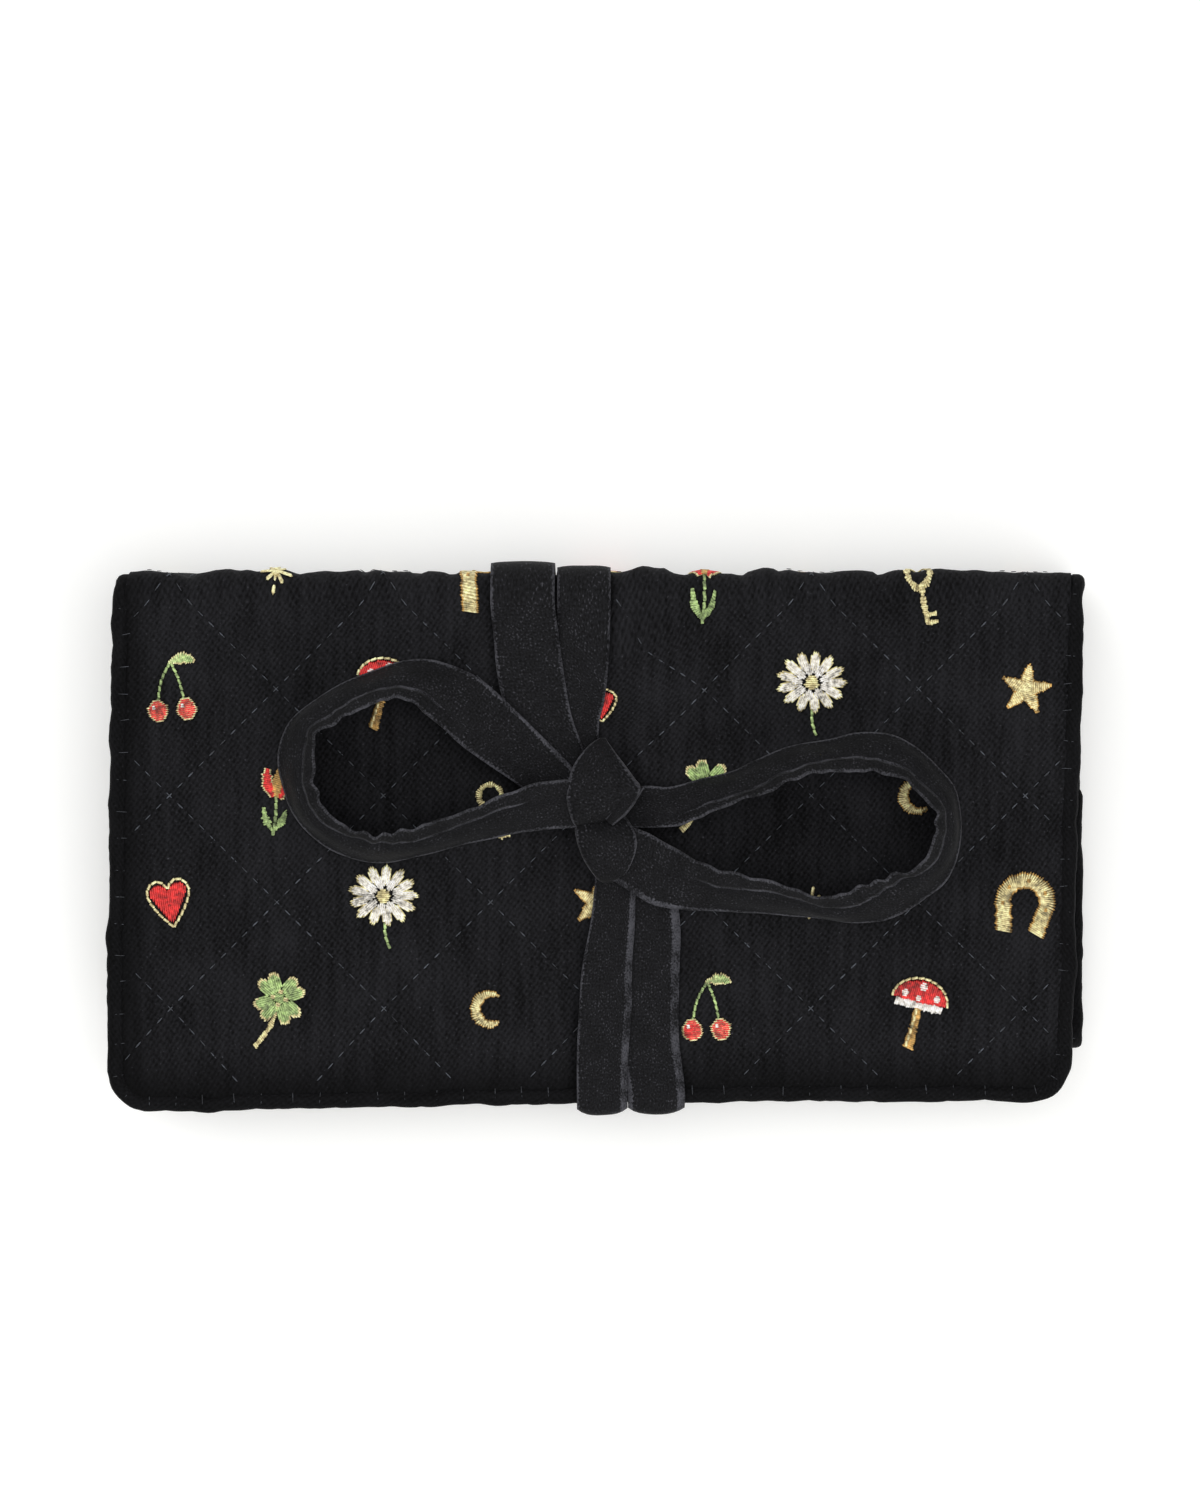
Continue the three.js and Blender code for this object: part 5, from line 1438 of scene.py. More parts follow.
class ROLL_OT_straps(bpy.types.Operator):
    """Ribbon strands: a taut band round the roll and two loose tails"""

    bl_idname = "jewelry_roll.straps"
    bl_label = "Ribbon strands"

    BETWEEN = 0.15 * MM  # from a strand to the one that lies on it
    SUNK = 0.75 * MM  # how far the strands behind are pressed into the back
    PAST_FOLD = 5 * MM  # how far past the top fold a strand still lies on top
    ROUND_EDGE = 0.75  # share of half the panel that is straight where a strand goes round the free edge
    EDGE_IN, TURNED = 3 * MM, 7 * MM  # s where it comes to the edge, and where its turned end stops

    def execute(self, context):
        roll = Roll.of(context)
        strip = roll.strip
        top = strip.half + roll.ribbon.thickness / 2 + RIBBON_GAP
        over = top + roll.ribbon.thickness + self.BETWEEN
        press_and_edge_shade = top - roll.quilt.press
        pressed_over = over - roll.quilt.press
        sunk = strip.half - roll.ribbon.thickness / 2 - self.SUNK
        nip = top - strip.half * (1 - strip.panel.fold_thin)
        crease_end, spine, fold = strip.on(strip.FLAP, 1), strip.on(strip.SPINE, 0), strip.top_middle
        past_fold, back, middle = fold + self.PAST_FOLD, strip.on(strip.BACK, 0), strip.back_middle
        low, rise = strip.on(strip.LOW_SPINE, 0), strip.on(strip.LOW_SPINE, 1) + 1 * MM

        def lies(t, *stations):
            """Stations at one height, from (x, s, width) with x and width in millimetres."""
            return [(x * MM, s, t, width * MM) for x, s, width in stations]

        def on_flap(t, *stations):
            """The same from (x, y, width), seen from above."""
            return lies(t, *((x, strip.at_height(y * MM), width) for x, y, width in stations))

        def edge(x, width):
            """Round the flap's free edge."""
            out, high = -(roll.ribbon.thickness / 2 + RIBBON_GAP), self.ROUND_EDGE * strip.half
            turn = (
                (self.EDGE_IN, top), (out, high), (out, -high), (self.EDGE_IN, -top), (self.TURNED, -top))
            return [(x * MM, s, t, width * MM) for s, t in turn]

        strap(roll, "upper_band", [
            *on_flap(press_and_edge_shade, (-3.6, 14, 8), (-5.6, 26.6, 12), (-4.4, 35.2, 12), (-3.3, 47.4, 12)),
            *lies(top, (-3, crease_end, 12), (-3, spine, 12), (-3, fold, 12)),
        ], ["tie_upper_band"])
        strap(roll, "upper_tail", [
            *on_flap(
                pressed_over, (-4.4, 12, 8), (-9.6, 20.9, 12.4), (-13, 28, 14.4), (-14.9, 36.6, 15),
                (-15.9, 45.2, 14.6)),
            *lies(over, (-16.7, crease_end, 14.4), (-16.7, spine, 14.4), (-16.7, fold, 14.4)),
        ], ["tie_upper_tail"])
        strap(roll, "lower_band", [
            *on_flap(
                press_and_edge_shade, (8.6, -2, 11), (11.4, -17, 14), (11.6, -32, 13.6), (11.6, -44, 13.4),
                (12.6, -52, 13.2)),
            *edge(13.3, 12.8),
        ], ["tie_lower_band"], rolled=(1.1, 1.27))
        strap(roll, "lower_tail", [
            *on_flap(
                pressed_over, (4.2, -4, 8.6), (3.6, -17.3, 9.8), (2.2, -28.9, 11.2), (1.8, -38, 11.8),
                (1.2, -48.4, 11.6)),
            *edge(1.1, 11.4),
        ], ["tie_lower_tail"], rolled=(1, 1.27))
        strap(roll, "back_band", [
            *lies(top, (-3, fold, 12), (-3, past_fold, 12)),
            *lies(sunk, (-3, back, 12), (1, (back + middle) / 2, 12), (4.8, middle, 12.4)),
        ], ["tie_back_band", "tie_spine_band"])
        strap(roll, "back_upper_tail", [
            *lies(over, (-16.7, fold, 14.4)), *lies(top, (-16.7, past_fold, 14.4)),
            *lies(sunk, (-16.7, back, 14.4), (-17.6, back + 16 * MM, 14.4), (-19, back + 32 * MM, 14.4)),
        ], ["tie_back_upper_tail", "tie_spine_tail"])
        strap(roll, "lower_back_band", [
            *lies(sunk, (4.8, middle, 12.4), (9, (low + middle) / 2, 12.8), (12.6, low - 6 * MM, 12.8)),
            *lies(nip, (12.6, low, 12.8), (12.6, rise, 12.8)),
        ], ["tie_bottom_band"])
        strap(roll, "lower_back_tail", [
            *lies(sunk, (-6.5, low - 30 * MM, 10.4), (-3, low - 18 * MM, 10.4), (-0.4, low - 6 * MM, 10.4)),
            *lies(nip, (-0.4, low, 10.4), (-0.4, rise, 10.4)),
        ], ["tie_back_lower_tail", "tie_bottom_tail"])
        return {"FINISHED"}


class ROLL_OT_bow(bpy.types.Operator):
    """Bow: two leaning loops of ribbon and the wraps of the knot"""

    bl_idname = "jewelry_roll.bow"
    bl_label = "Bow"

    # Each loop through (outer x, outer y, inner x, inner y, lift, rise) in millimetres: its two edges seen
    # from above, how far the outer one is over the flap, and how far the inner one is over that
    LEFT = [
        (-2, 12.6, -11, 7.6, 1.6, 0.5), (-6, 16.6, -14.9, 10.1, 1.6, 0.6),
        (-11.3, 21.9, -19.9, 13.6, 1.6, 1.2), (-16.4, 26.9, -24.9, 17.1, 1.6, 2.4),
        (-22.8, 33, -30.7, 21.4, 1.4, 3.2), (-27.1, 36.3, -35.3, 25.7, 0.8, 5),
        (-32.8, 38.8, -39.3, 29.3, 0.3, 8), (-38.5, 40, -42.5, 31.6, 0, 10),
        (-45.7, 39.1, -46.1, 31.8, 0, 11.4), (-54.3, 35.8, -51.8, 30, 0, 12),
        (-62.2, 31.5, -57.9, 27.2, 0, 12), (-67.9, 27.1, -61.8, 24.8, 0, 12),
        (-70.6, 22.3, -62.7, 21.6, 0, 11.2), (-71.5, 16.6, -63, 17.3, 0, 11),
        (-70.2, 10.1, -62.7, 12.3, 0, 11.4), (-68.3, 5.8, -61.1, 8, 0, 11.5),
        (-65, 1.5, -58.6, 5.3, 0, 11.5), (-60, -2.5, -55, 3.3, 0, 11.5),
        (-53.6, -4.9, -50.7, 1.9, 0, 11.6), (-47.1, -5.3, -45.7, 2.1, 0, 11.5),
        (-40, -4, -40, 3.3, 0, 11.5), (-32.8, -2, -33.5, 5.6, 0, 11.4),
        (-25.7, -0.4, -26.7, 7.8, 0.9, 10.5), (-18.5, 1.2, -20.3, 10.7, 2.2, 8),
        (-11.3, 2.2, -12.8, 13, 3.4, 5), (-6, 2.6, -6.3, 13.6, 3.8, 3), (-0.6, 3, -0.6, 13, 3.8, 2.5),
    ]
    RIGHT = [
        (1.8, 8.9, 2.9, 2.6, 0.6, 1), (10.1, 11.7, 13.8, 2.6, 0.8, 2), (16.1, 11.5, 19.5, 3.5, 0.6, 4),
        (23.5, 13.2, 26.4, 7.1, 0.3, 8), (30.4, 15.1, 33.3, 9.4, 0, 11), (35.5, 17.5, 39, 11.8, 0, 12),
        (41.3, 19.9, 44.1, 14.1, 0, 12), (47, 21.3, 48.7, 15.4, 0, 12), (52.7, 22.3, 53.9, 15.7, 0, 12),
        (58.4, 23.4, 58.4, 15.9, 0, 11.8), (65.9, 23.1, 63.6, 15.8, 0, 11.6),
        (71.6, 20.1, 67.9, 14, 0, 11.8), (76.5, 15.5, 71.3, 11, 0, 12),
        (80.2, 11, 74.2, 8.4, 0, 12), (81.6, 4.9, 75.5, 4.9, 0, 12.2),
        (81.2, -1.4, 74.8, 0.4, 0, 12), (79.8, -6.8, 72.8, -3.9, 0, 11.6), (77.6, -10.5, 69, -6.5, 0, 10),
        (73.9, -13.3, 65.3, -7.4, 0, 9.4), (69.3, -16.3, 61.3, -9.1, 0, 9.2),
        (64.2, -18.5, 57.3, -10.6, 0, 9.4), (58.4, -18.9, 53.3, -12, 0, 11),
        (52.7, -18.3, 48.7, -12, 0, 11.6), (47, -17.7, 44.1, -10.6, 0, 11.6),
        (40.1, -17.1, 37.8, -8.7, 0.2, 10.6), (32.7, -16.7, 32.1, -7.4, 0.6, 9.6),
        (25.8, -16.3, 26.4, -6.1, 1, 8), (18.9, -15.8, 20.7, -3.4, 1.8, 5.5),
        (12.6, -14.8, 15.5, -0.8, 2.4, 2.6), (7.8, -12, 10.6, 1.8, 2.6, 1.8), (1.8, -8.2, 2.3, 4.4, 2.6, 1),
    ]
    # Each pad of the knot in millimetres: its left and right edge through (x, y, t), and its height along the
    # middle
    WRAP = (
        [(0.6, 23, 4.4), (-2, 20.9, 5.6), (-5.3, 16.6, 6.6), (-6.9, 11.5, 7), (-6.9, 8.5, 7), (-6, 5, 6.6),
         (-5.2, 2.9, 6)],
        [(1.8, 23, 4.4), (3.6, 20, 5.6), (6.2, 16.6, 6.4), (8.4, 13.6, 6.6), (9.7, 11.6, 6.6), (8.4, 8, 6.2),
         (5.6, 4.4, 6)],
        [0.4, 2, 3.9, 5, 5.1, 4.6, 1.6],
    )
    TUCK = (
        [(-5, 4, 5), (-4.9, 0.8, 5.6), (-3.4, -4, 5.4), (-0.6, -8.4, 4.6), (1.2, -9.9, 4)],
        [(6, 5.4, 5), (8.6, 1.4, 5.6), (8.6, -3, 5.4), (6.4, -7.8, 4.6), (3.4, -9.9, 4)],
        [2.4, 4.3, 4.6, 3, 0.3],
    )
    RUFFLE_LENGTH = 7 * MM  # along the inner edge
    RUFFLE_DRIFT = 1.2  # how far the ruffles come early or late, in their lengths
    RUFFLE_FULL = (0.7, 1.3)  # their mean height and how much it comes and goes, as shares
    RUFFLE_IN = 2.5  # above 1, they keep nearer to the inner edge
    STANDS = 8 * MM  # how much higher than the outer edge the inner one is where it ruffles in full
    SOFT = 0.45 * MM  # height of the loops' broad creases
    FINE = 0.3 * MM  # height of the fine ones near the inner edge
    ROUND = 1.1 * MM  # how far a loop bulges between its edges
    FLARE = 1.3  # above 1, it stands up later from its outer edge
    LINE_AT = (0.7, 0.14)  # share of the width where a crease runs along the loops, and how far it strays
    LINE_DEEP = 0.9 * MM  # depth of that crease
    LINE_WIDE = 0.055  # its width, as a share of the ribbon's
    CREASE_HIGHLIGHT_AT = 0.64  # its place across the ribbon in UV, past the selvedge, so that the crease takes the selvedge's lighter tone as a painted highlight
    CREASE_HIGHLIGHT_WIDE = 0.03  # width of that painted highlight
    EDGE_SHOWS = 1.04  # how much wider the loops' turned selvedges look than flat ones
    FRAYED = {"bow_left": (0.0, 0.12), "bow_right": (1.0, 0.84)}  # shares where the outer one has rolled up
    FRAY_SHOWS = 0.13  # how much wider it looks there
    FOOT = 3  # t of the pads' underside
    PAD_EDGE = 0.3  # half the thickness of a pad's edge
    KNOT_CUT = 1.5  # ribbon widths that a wrap of the knot is reckoned as
    FOLD_SHOWS = 1.35  # how much wider the folded edge's selvedges look
    # The folded edge across the upper pad, through (x, y, t, width)
    FOLD = [(9.6, 12.2, 7.6, 2.2), (7.4, 9.6, 10.2, 3), (5, 6.8, 10.8, 3.2), (2.6, 4, 9, 2.4)]

    def execute(self, context):
        roll = Roll.of(context)
        for name, points, node in (
            ("bow_left", self.LEFT, "bow_loop_left"), ("bow_right", self.RIGHT, "bow_loop_right"),
        ):
            piece, run = self.loop(roll, name, points)
            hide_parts(node)
            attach(piece, "flap")
        fold = self.fold(roll, "knot_fold", self.FOLD)
        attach(fold, "flap")
        for name, edges, node, extra in (
            ("knot_wrap_ribbon", self.WRAP, "knot_wrap", [fold]),
            ("knot_tuck_ribbon", self.TUCK, "knot_tuck", []),
        ):
            piece, flat, area = self.pad(roll, name, *edges)
            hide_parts(node)
            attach(piece, "flap")
        return {"FINISHED"}

    def loop(self, roll, name, points):
        """A loop of ribbon between its two edges, and its length."""
        strip, ribbon = roll.strip, roll.ribbon
        steps = 3 * ribbon.steps
        base = strip.half + ribbon.thickness / 2 + RIBBON_GAP
        first, last = self.FRAYED[name]
        edges = []
        for x, y, inner_x, inner_y, lift, rise in curve_through(points, steps):
            outer = Vector((x * MM, strip.at_height(y * MM), base + lift * MM))
            inner = Vector((inner_x * MM, strip.at_height(inner_y * MM), base + (lift + rise) * MM))
            edges.append((outer, inner))
        middles = [outer.lerp(inner, 0.5) for outer, inner in edges]
        run = so_far((b - a).length for a, b in zip(middles, middles[1:]))

        def shape(a, b):
            k = round(b * steps)
            outer, inner = edges[k]
            side = inner - outer
            ahead = middles[min(k + 1, steps)] - middles[max(k - 1, 0)]
            face = ahead.cross(side).normalized()
            face *= math.copysign(1, face.z)
            drift = self.RUFFLE_DRIFT * noise.noise((run[k] / (15 * MM), 1.7, 0.2))
            beat = run[k] / self.RUFFLE_LENGTH + drift
            full = self.RUFFLE_FULL[0] + self.RUFFLE_FULL[1] * noise.noise((run[k] / (10 * MM), 4.2, 0.9))
            stands = min(side.z / self.STANDS, 1)
            wave = ribbon.ruffle * full * stands * a ** self.RUFFLE_IN * math.sin(2 * math.pi * beat)
            wave += self.SOFT * noise.noise((a * 1.5, run[k] / (9 * MM), 0.8))
            wave += self.FINE * a * stands * noise.noise((a * 4, run[k] / (2.6 * MM), 2.8))
            line = self.LINE_AT[0] + self.LINE_AT[1] * noise.noise((run[k] / (13 * MM), 3.1, 0.6))
            wave -= self.LINE_DEEP * stands * math.exp(-((a - line) / self.LINE_WIDE) ** 2)
            bow = self.ROUND * stands * math.sin(math.pi * a) ** 2
            flare = Vector((0, 0, side.z * (a ** self.FLARE - a)))
            thick = half_pile(ribbon, a)
            middle = outer + side * a + flare + face * (wave + bow)
            low, high = (strip.place(*(middle + face * off)) for off in (-thick, thick))
            shows = 1.0
            if a < 0.5:
                shows = self.EDGE_SHOWS + self.FRAY_SHOWS * smooth((b - last) / (first - last))
            flat = (a - 0.5) * ribbon.width * shows
            # A painted highlight along the crease: its UV is moved into the selvedge, so the crease shows the
            # selvedge's lighter tone.
            wear_and_crease_highlight = stands * math.exp(-((a - line) / self.CREASE_HIGHLIGHT_WIDE) ** 2)
            return (flat + (self.CREASE_HIGHLIGHT_AT * ribbon.width - flat) * wear_and_crease_highlight, run[k]), low, high

        return finish_piece(name, cloth_block(28, steps, shape), roll.finish.ribbon), run[-1]

    def pad(self, roll, name, left, right, crown):
        """A plump wrap of ribbon between two edges, with its flat size and its area."""
        strip, ribbon = roll.strip, roll.ribbon
        steps = ribbon.steps
        crown = [(high, 0) for high in crown]
        left, right, crown = (curve_through(points, steps) for points in (left, right, crown))

        def shape(a, b):
            k = round(b * steps)
            u = 2 * a - 1
            x, y, t = left[k].lerp(right[k], 0.5 + 0.5 * math.sin(u * math.pi / 2))
            full = (1 - abs(u) ** 2.4) ** 0.6
            over = t + self.PAD_EDGE + crown[k].x * full
            over += 0.3 * noise.noise((x / 3, y / 5, 2.2)) + 0.4 * noise.noise((x / 1.6, y / 9, 5.2)) * full
            under = t - self.PAD_EDGE - (t - self.FOOT) * full * math.sin(math.pi * b) ** 0.5
            s = strip.at_height(y * MM)
            low, high = (strip.place(x * MM, s, lift * MM) for lift in (under, over))
            return (math.sin(u * math.pi / 2) * ribbon.width / 2, y * MM), low, high

        piece = finish_piece(name, cloth_block(24, steps, shape), roll.finish.ribbon)
        area = sum(face.area for face in piece.data.polygons) / 2
        wide = self.KNOT_CUT * ribbon.width
        return piece, (wide, area / wide), area

    def fold(self, roll, name, points):
        """A narrow turned edge that lies across the knot."""
        strip, ribbon = roll.strip, roll.ribbon
        steps = ribbon.steps // 2
        route = curve_through(points, steps)

        def shape(a, b):
            k = round(b * steps)
            x, y, t, width = route[k]
            ahead = route[min(k + 1, steps)] - route[max(k - 1, 0)]
            side = Vector((-ahead.y, ahead.x)).normalized() * (a - 0.5) * width
            rise = t + 0.7 * (1 - (2 * a - 1) ** 2) - 0.5 * abs(2 * a - 1)
            s = strip.at_height((y + side.y) * MM)
            half = ribbon.thickness / 2
            low, high = (strip.place((x + side.x) * MM, s, rise * MM + off) for off in (-half, half))
            return ((a - 0.5) * ribbon.width * self.FOLD_SHOWS, k * 0.3 * MM), low, high

        return finish_piece(name, cloth_block(8, steps, shape), roll.finish.ribbon)


# Pockets and zip


POCKET_CLOTH = 0.5 * MM  # thickness of the pockets' cloth
SEAM_LIFT = 0.12 * MM  # from the cloth to the middle of a seam's stitch


def add_block(bm, centre, size):
    """A box, to be rounded later."""
    for vert in bmesh.ops.create_cube(bm, size=1)["verts"]:
        vert.co = centre + Vector([c * d for c, d in zip(vert.co, size)])


def round_off(bm, radius, segments):
    """Rounds every edge of a mesh of boxes."""
    bmesh.ops.bevel(
        bm, geom=list(bm.edges), offset=radius, affect="EDGES", segments=segments, profile=0.5, material=-1)


class ROLL_OT_zip(bpy.types.Operator):
    """Zipped pocket on the back's lining: cloth, tapes, teeth, tabs, slider and pull"""

    bl_idname = "jewelry_roll.zip"
    bl_label = "Zipped pocket"

    FLAT, FALL = 7 * MM, 9 * MM  # cloth that lies over the lower tape, and its slope down to the lining
    BAND_FALL = 1.2 * MM  # slope of the cloth above the zip
    SIDE_FALL = 8 * MM  # slope of both at their sides
    SHORTEST = 10 * MM  # narrowest cut of cloth, with its turned edges
    PUFF = 0.35 * MM  # how far the empty pocket puffs up
    SINK = 0.02 * MM  # how far it may sink
    WEB = 0.6 * MM  # thickness of a tape, and how far its face is below the teeth
    BEAD = 2.4 * MM  # width of a tape's beaded edge
    TOOTH = (1.35 * MM, 3.2 * MM, 1.8 * MM)
    TOOTH_PITCH = 3 * MM
    TOOTH_ROUND, TAB_ROUND = 0.3 * MM, 0.8 * MM

    def execute(self, context):
        roll = Roll.of(context)
        for name in ("zip_slider", "zip_pull"):
            node = frame["nodes"][name]
            node.data.materials.clear()
            node.data.materials.append(roll.finish.brass)
        for name in ("pocket_front", "pocket_band"):
            self.cloth(roll, name)
        for name in ("zip_tape_upper", "zip_tape_lower"):
            self.tape(roll, name)
        for name in ("zip_end_tab_left", "zip_end_tab_right"):
            self.tab(roll, name)
        return {"FINISHED"}

    def cloth(self, roll, name):
        """Cloth of the pocket below or above the zip, with its seams."""
        low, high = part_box(name)
        seam = roll.panel.seam

        def face(x, y):
            """Height of the cloth's face: over the tape, and down to the lining all round."""
            share = (x - low.x) / (high.x - low.x)
            if name == "pocket_front":
                drop = smooth((high.y - self.FLAT - y) / self.FALL)
            else:
                drop = smooth((y - high.y + self.BAND_FALL) / self.BAND_FALL)
            drop = max(drop, 1 - smooth(min(x - low.x, high.x - x) / self.SIDE_FALL))
            z = high.z - drop * (high.z - low.z - POCKET_CLOTH)
            puff = self.PUFF * ripple(x, 16, y, 22, 4.4) * math.sin(math.pi * share) * drop
            return z + max(puff, -self.SINK)

        def shape(a, b):
            x = low.x + (high.x - low.x) * a
            y = low.y + (high.y - low.y) * b
            z = face(x, y)
            return (x, y), Vector((x, y, z - POCKET_CLOTH)), Vector((x, y, z))

        bm = cloth_block(110, max(round((high.y - low.y) / roll.panel.step), 6), shape)
        piece = finish_piece(f"{name}_cloth", bm, roll.finish.satin)
        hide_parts(name)
        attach(piece, "back")
        left, right, bottom, top = low.x + seam, high.x - seam, low.y + seam, high.y - seam
        rows = [((left, bottom), (right, bottom)), ((left, top), (right, top))]
        if name == "pocket_front":
            rows += [((x, bottom + seam), (x, top - seam)) for x in (left, right)]
        sew_seams(roll, name, rows, lambda x, y: Vector((x, y, face(x, y) + SEAM_LIFT)), "back")

    def tape(self, roll, name):
        """A woven tape with its row of teeth."""
        low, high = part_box(name)
        upper = name.endswith("upper")
        web = high.z - self.WEB
        inner, outer, away = (low.y, high.y, 1) if upper else (high.y, low.y, -1)
        edge = inner + away * self.BEAD / 4

        def shape(a, b):
            x = low.x + (high.x - low.x) * a
            y = edge + (outer - edge) * b
            return (x, y), Vector((x, y, web - self.WEB)), Vector((x, y, web))

        piece = finish_piece(f"{name}_web", cloth_block(60, 6, shape), roll.finish.tape)
        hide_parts(name)
        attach(piece, "back")
        bm = bmesh.new()
        for k in range(int((high.x - low.x) / self.TOOTH_PITCH)):
            x = low.x + (k + (0.65 if upper else 0.35)) * self.TOOTH_PITCH
            y, z = inner + away * self.TOOTH[1] / 2, high.z - self.TOOTH[2] / 2
            add_block(bm, Vector((x, y, z)), self.TOOTH)
        round_off(bm, self.TOOTH_ROUND, 2)
        teeth = finish_piece(f"{name}_teeth", bm, roll.finish.brass)
        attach(teeth, "back")

    def tab(self, roll, name):
        """A soft tab over the ends of the tapes."""
        low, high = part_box(name)
        bm = bmesh.new()
        add_block(bm, (low + high) / 2, high - low)
        round_off(bm, self.TAB_ROUND, 4)
        lay_flat(bm, {vert: vert.co.xy for vert in bm.verts})
        piece = finish_piece(f"{name}_cloth", bm, roll.finish.satin)
        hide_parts(name)
        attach(piece, "back")


class ROLL_OT_slip_pockets(bpy.types.Operator):
    """Slip pockets of satin on the linings of the flap and the inner panel"""

    bl_idname = "jewelry_roll.slip_pockets"
    bl_label = "Slip pockets"

    HEM = 5 * MM  # width of the turned hem along the mouth
    HEM_RISE = 0.35 * MM  # how much thicker it is
    HEM_STEP = 0.5 * MM  # how far the step down from it runs
    CLEAR = 0.3 * MM  # from the lining's mean face to the cloth
    PUFF = 0.3 * MM  # how far the empty pocket puffs up
    SINK = 0.1 * MM  # how far it may sink

    def execute(self, context):
        roll = Roll.of(context)
        strip = roll.strip
        low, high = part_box("flap_pocket")
        foot, mouth = (strip.at_height(end.y) for end in (low, high))
        self.pocket(roll, "flap_pocket", "flap", foot, mouth, low.x, high.x, 3)
        low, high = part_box("inner_pocket")
        here, _, start_point, _ = strip.runs[strip.INNER]
        foot, mouth = (here + end.y - start_point.x for end in (low, high))
        self.pocket(roll, "inner_pocket", "inner", foot, mouth, low.x, high.x, 2)
        return {"FINISHED"}

    def pocket(self, roll, name, body, foot, mouth, left, right, parts):
        """A flat pocket that is sewn on round three sides and between its parts."""
        strip = roll.strip
        seam = roll.panel.seam
        under = -(strip.half + self.CLEAR)

        def face(x, s):
            """t of the cloth's face, away from the lining."""
            rim = smooth((mouth - s - self.HEM) / self.HEM_STEP)
            ease = abs(math.sin(math.pi * parts * (x - left) / (right - left)))
            ease *= smooth(3 * (s - foot) / (mouth - foot))
            puff = self.PUFF * ease * ripple(x, 18, s, 15, 9.2)
            return under - POCKET_CLOTH - self.HEM_RISE * (1 - rim) - max(puff, -self.SINK)

        def shape(a, b):
            x = left + (right - left) * a
            s = foot + (mouth - foot) * b
            return (x, s), strip.place(x, s, face(x, s)), strip.place(x, s, under)

        bm = cloth_block(110, 44, shape)
        piece = finish_piece(f"{name}_cloth", bm, roll.finish.satin)
        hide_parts(name)
        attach(piece, body)
        rows = [((left + seam, s), (right - seam, s)) for s in (foot + seam, mouth - self.HEM + seam / 2)]
        uprights = [left + seam, right - seam] + [left + (right - left) * k / parts for k in range(1, parts)]
        rows += [((x, foot + seam), (x, mouth - seam)) for x in uprights]
        sew_seams(roll, name, rows, lambda x, s: strip.place(x, s, face(x, s) - SEAM_LIFT), body)


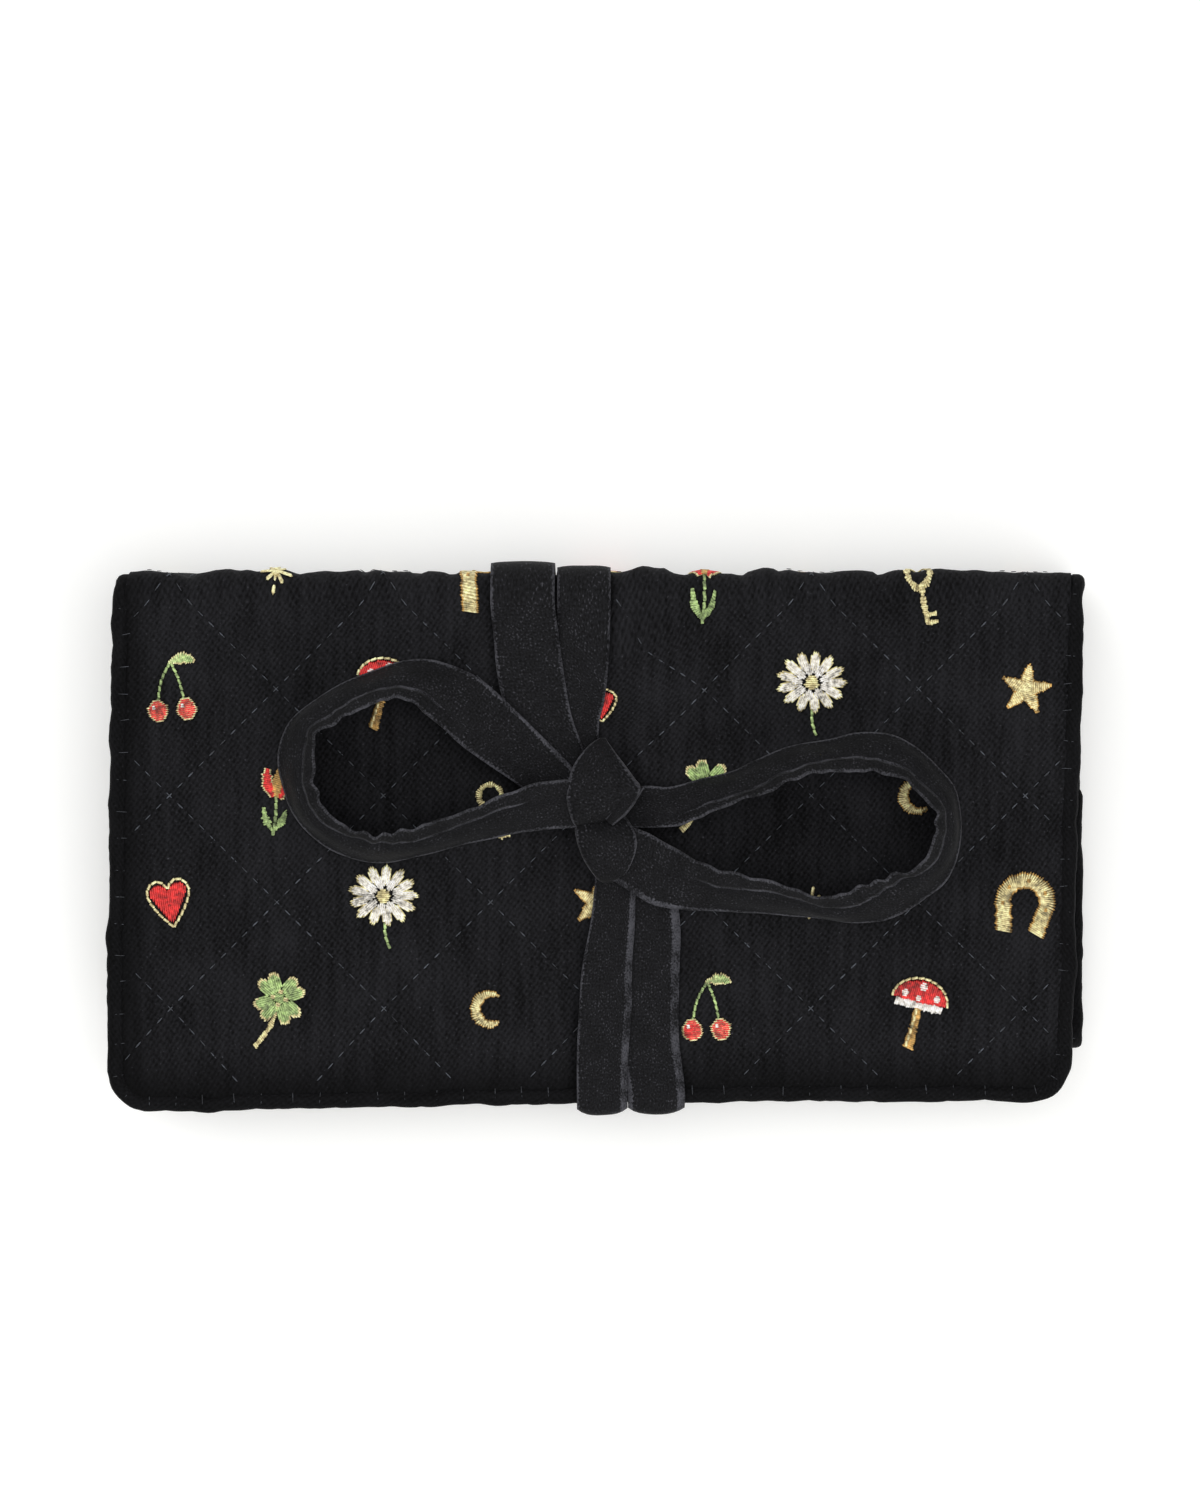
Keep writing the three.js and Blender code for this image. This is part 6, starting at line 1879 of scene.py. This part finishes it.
class ROLL_OT_stage(bpy.types.Operator):
    """Pale floor, soft studio light and a camera straight above"""

    bl_idname = "jewelry_roll.stage"
    bl_label = "Stage"

    FRAME_HEIGHT = 336.75 * MM  # height of the view at the flap's face
    AIM = (0.6 * MM, 19.5 * MM, 25 * MM)
    DISTANCE = 1.4  # from the camera to there, in metres
    FLOOR = 3  # half the floor's width, in metres
    AMBIENT = 0.4  # strength of the white surroundings
    LAMPS = (  # name, place, width in metres and power in watts
        ("overhead", (0.1, 0.1, 1.7), 1.4, 9),
        ("key", (-0.7, 0.65, 0.75), 1.3, 7),
        ("fill", (0.8, -0.4, 0.9), 0.9, 4),
        ("rim", (0.15, -0.9, 0.45), 0.5, 3),
    )

    def execute(self, context):
        scene = context.scene
        roll = Roll.of(context)
        bm = bmesh.new()
        bmesh.ops.create_grid(bm, x_segments=1, y_segments=1, size=self.FLOOR)
        mesh = bpy.data.meshes.new("floor")
        bm.to_mesh(mesh)
        bm.free()
        mesh.materials.append(studio_floor("matt white paper", roll.colours.floor))
        floor = bpy.data.objects.new("floor", mesh)
        scene.collection.objects.link(floor)
        for lamp in self.LAMPS:
            self.lamp(scene, *lamp)
        world = bpy.data.worlds.new("studio")
        scene.world = world
        world.use_nodes = True
        background = world.node_tree.nodes["Background"]
        background.inputs["Color"].default_value = (1, 1, 1, 1)
        background.inputs["Strength"].default_value = self.AMBIENT
        camera = bpy.data.cameras.new("camera")
        camera.sensor_fit = "VERTICAL"
        camera.sensor_height = 36
        camera.lens = camera.sensor_height * self.DISTANCE / self.FRAME_HEIGHT
        camera.clip_end = 20
        viewer = bpy.data.objects.new("camera", camera)
        viewer.location = (self.AIM[0], self.AIM[1], self.AIM[2] + self.DISTANCE)
        scene.collection.objects.link(viewer)
        scene.camera = viewer
        scene.view_settings.view_transform = "Standard"
        return {"FINISHED"}

    def lamp(self, scene, name, place, size, power):
        """A soft square lamp that points at the roll."""
        light = bpy.data.lights.new(name, "AREA")
        light.size = size
        light.energy = power
        lamp = bpy.data.objects.new(name, light)
        lamp.location = place
        lamp.rotation_euler = (-Vector(place)).to_track_quat("-Z", "Y").to_euler()
        scene.collection.objects.link(lamp)


class ROLL_PT_sidebar(bpy.types.Panel):
    """The roll's settings and the steps that make it"""

    bl_label = "Jewelry Roll"
    bl_idname = "ROLL_PT_sidebar"
    bl_space_type = "VIEW_3D"
    bl_region_type = "UI"
    bl_category = "Jewelry Roll"

    def draw(self, context):
        layout = self.layout
        for group in (name for name, _ in SETTINGS):
            box = layout.box()
            settings = getattr(context.scene, group)
            for name in settings.bl_rna.properties.keys():
                if name not in ("name", "rna_type"):
                    box.prop(settings, name)
        for step in STEPS:
            layout.operator(step.bl_idname)


SETTINGS = (
    ("roll_panel", PanelSizes),
    ("roll_quilt", QuiltSizes),
    ("roll_ribbon", RibbonSizes),
    ("roll_colours", RollColours),
)
STEPS = (
    ROLL_OT_stage,
    ROLL_OT_panels,
    ROLL_OT_edges,
    ROLL_OT_stitches,
    ROLL_OT_embroidery,
    ROLL_OT_straps,
    ROLL_OT_bow,
    ROLL_OT_zip,
    ROLL_OT_slip_pockets,
)


def register():
    for name, group in SETTINGS:
        bpy.utils.register_class(group)
        setattr(bpy.types.Scene, name, PointerProperty(type=group))
    for step in (*STEPS, ROLL_PT_sidebar):
        bpy.utils.register_class(step)


def unregister():
    for step in reversed((*STEPS, ROLL_PT_sidebar)):
        bpy.utils.unregister_class(step)
    for name, group in reversed(SETTINGS):
        delattr(bpy.types.Scene, name)
        bpy.utils.unregister_class(group)


def main():
    register()
    for step in STEPS:
        area, call = step.bl_idname.split(".")
        getattr(getattr(bpy.ops, area), call)()


if __name__ == "__main__":
    main()
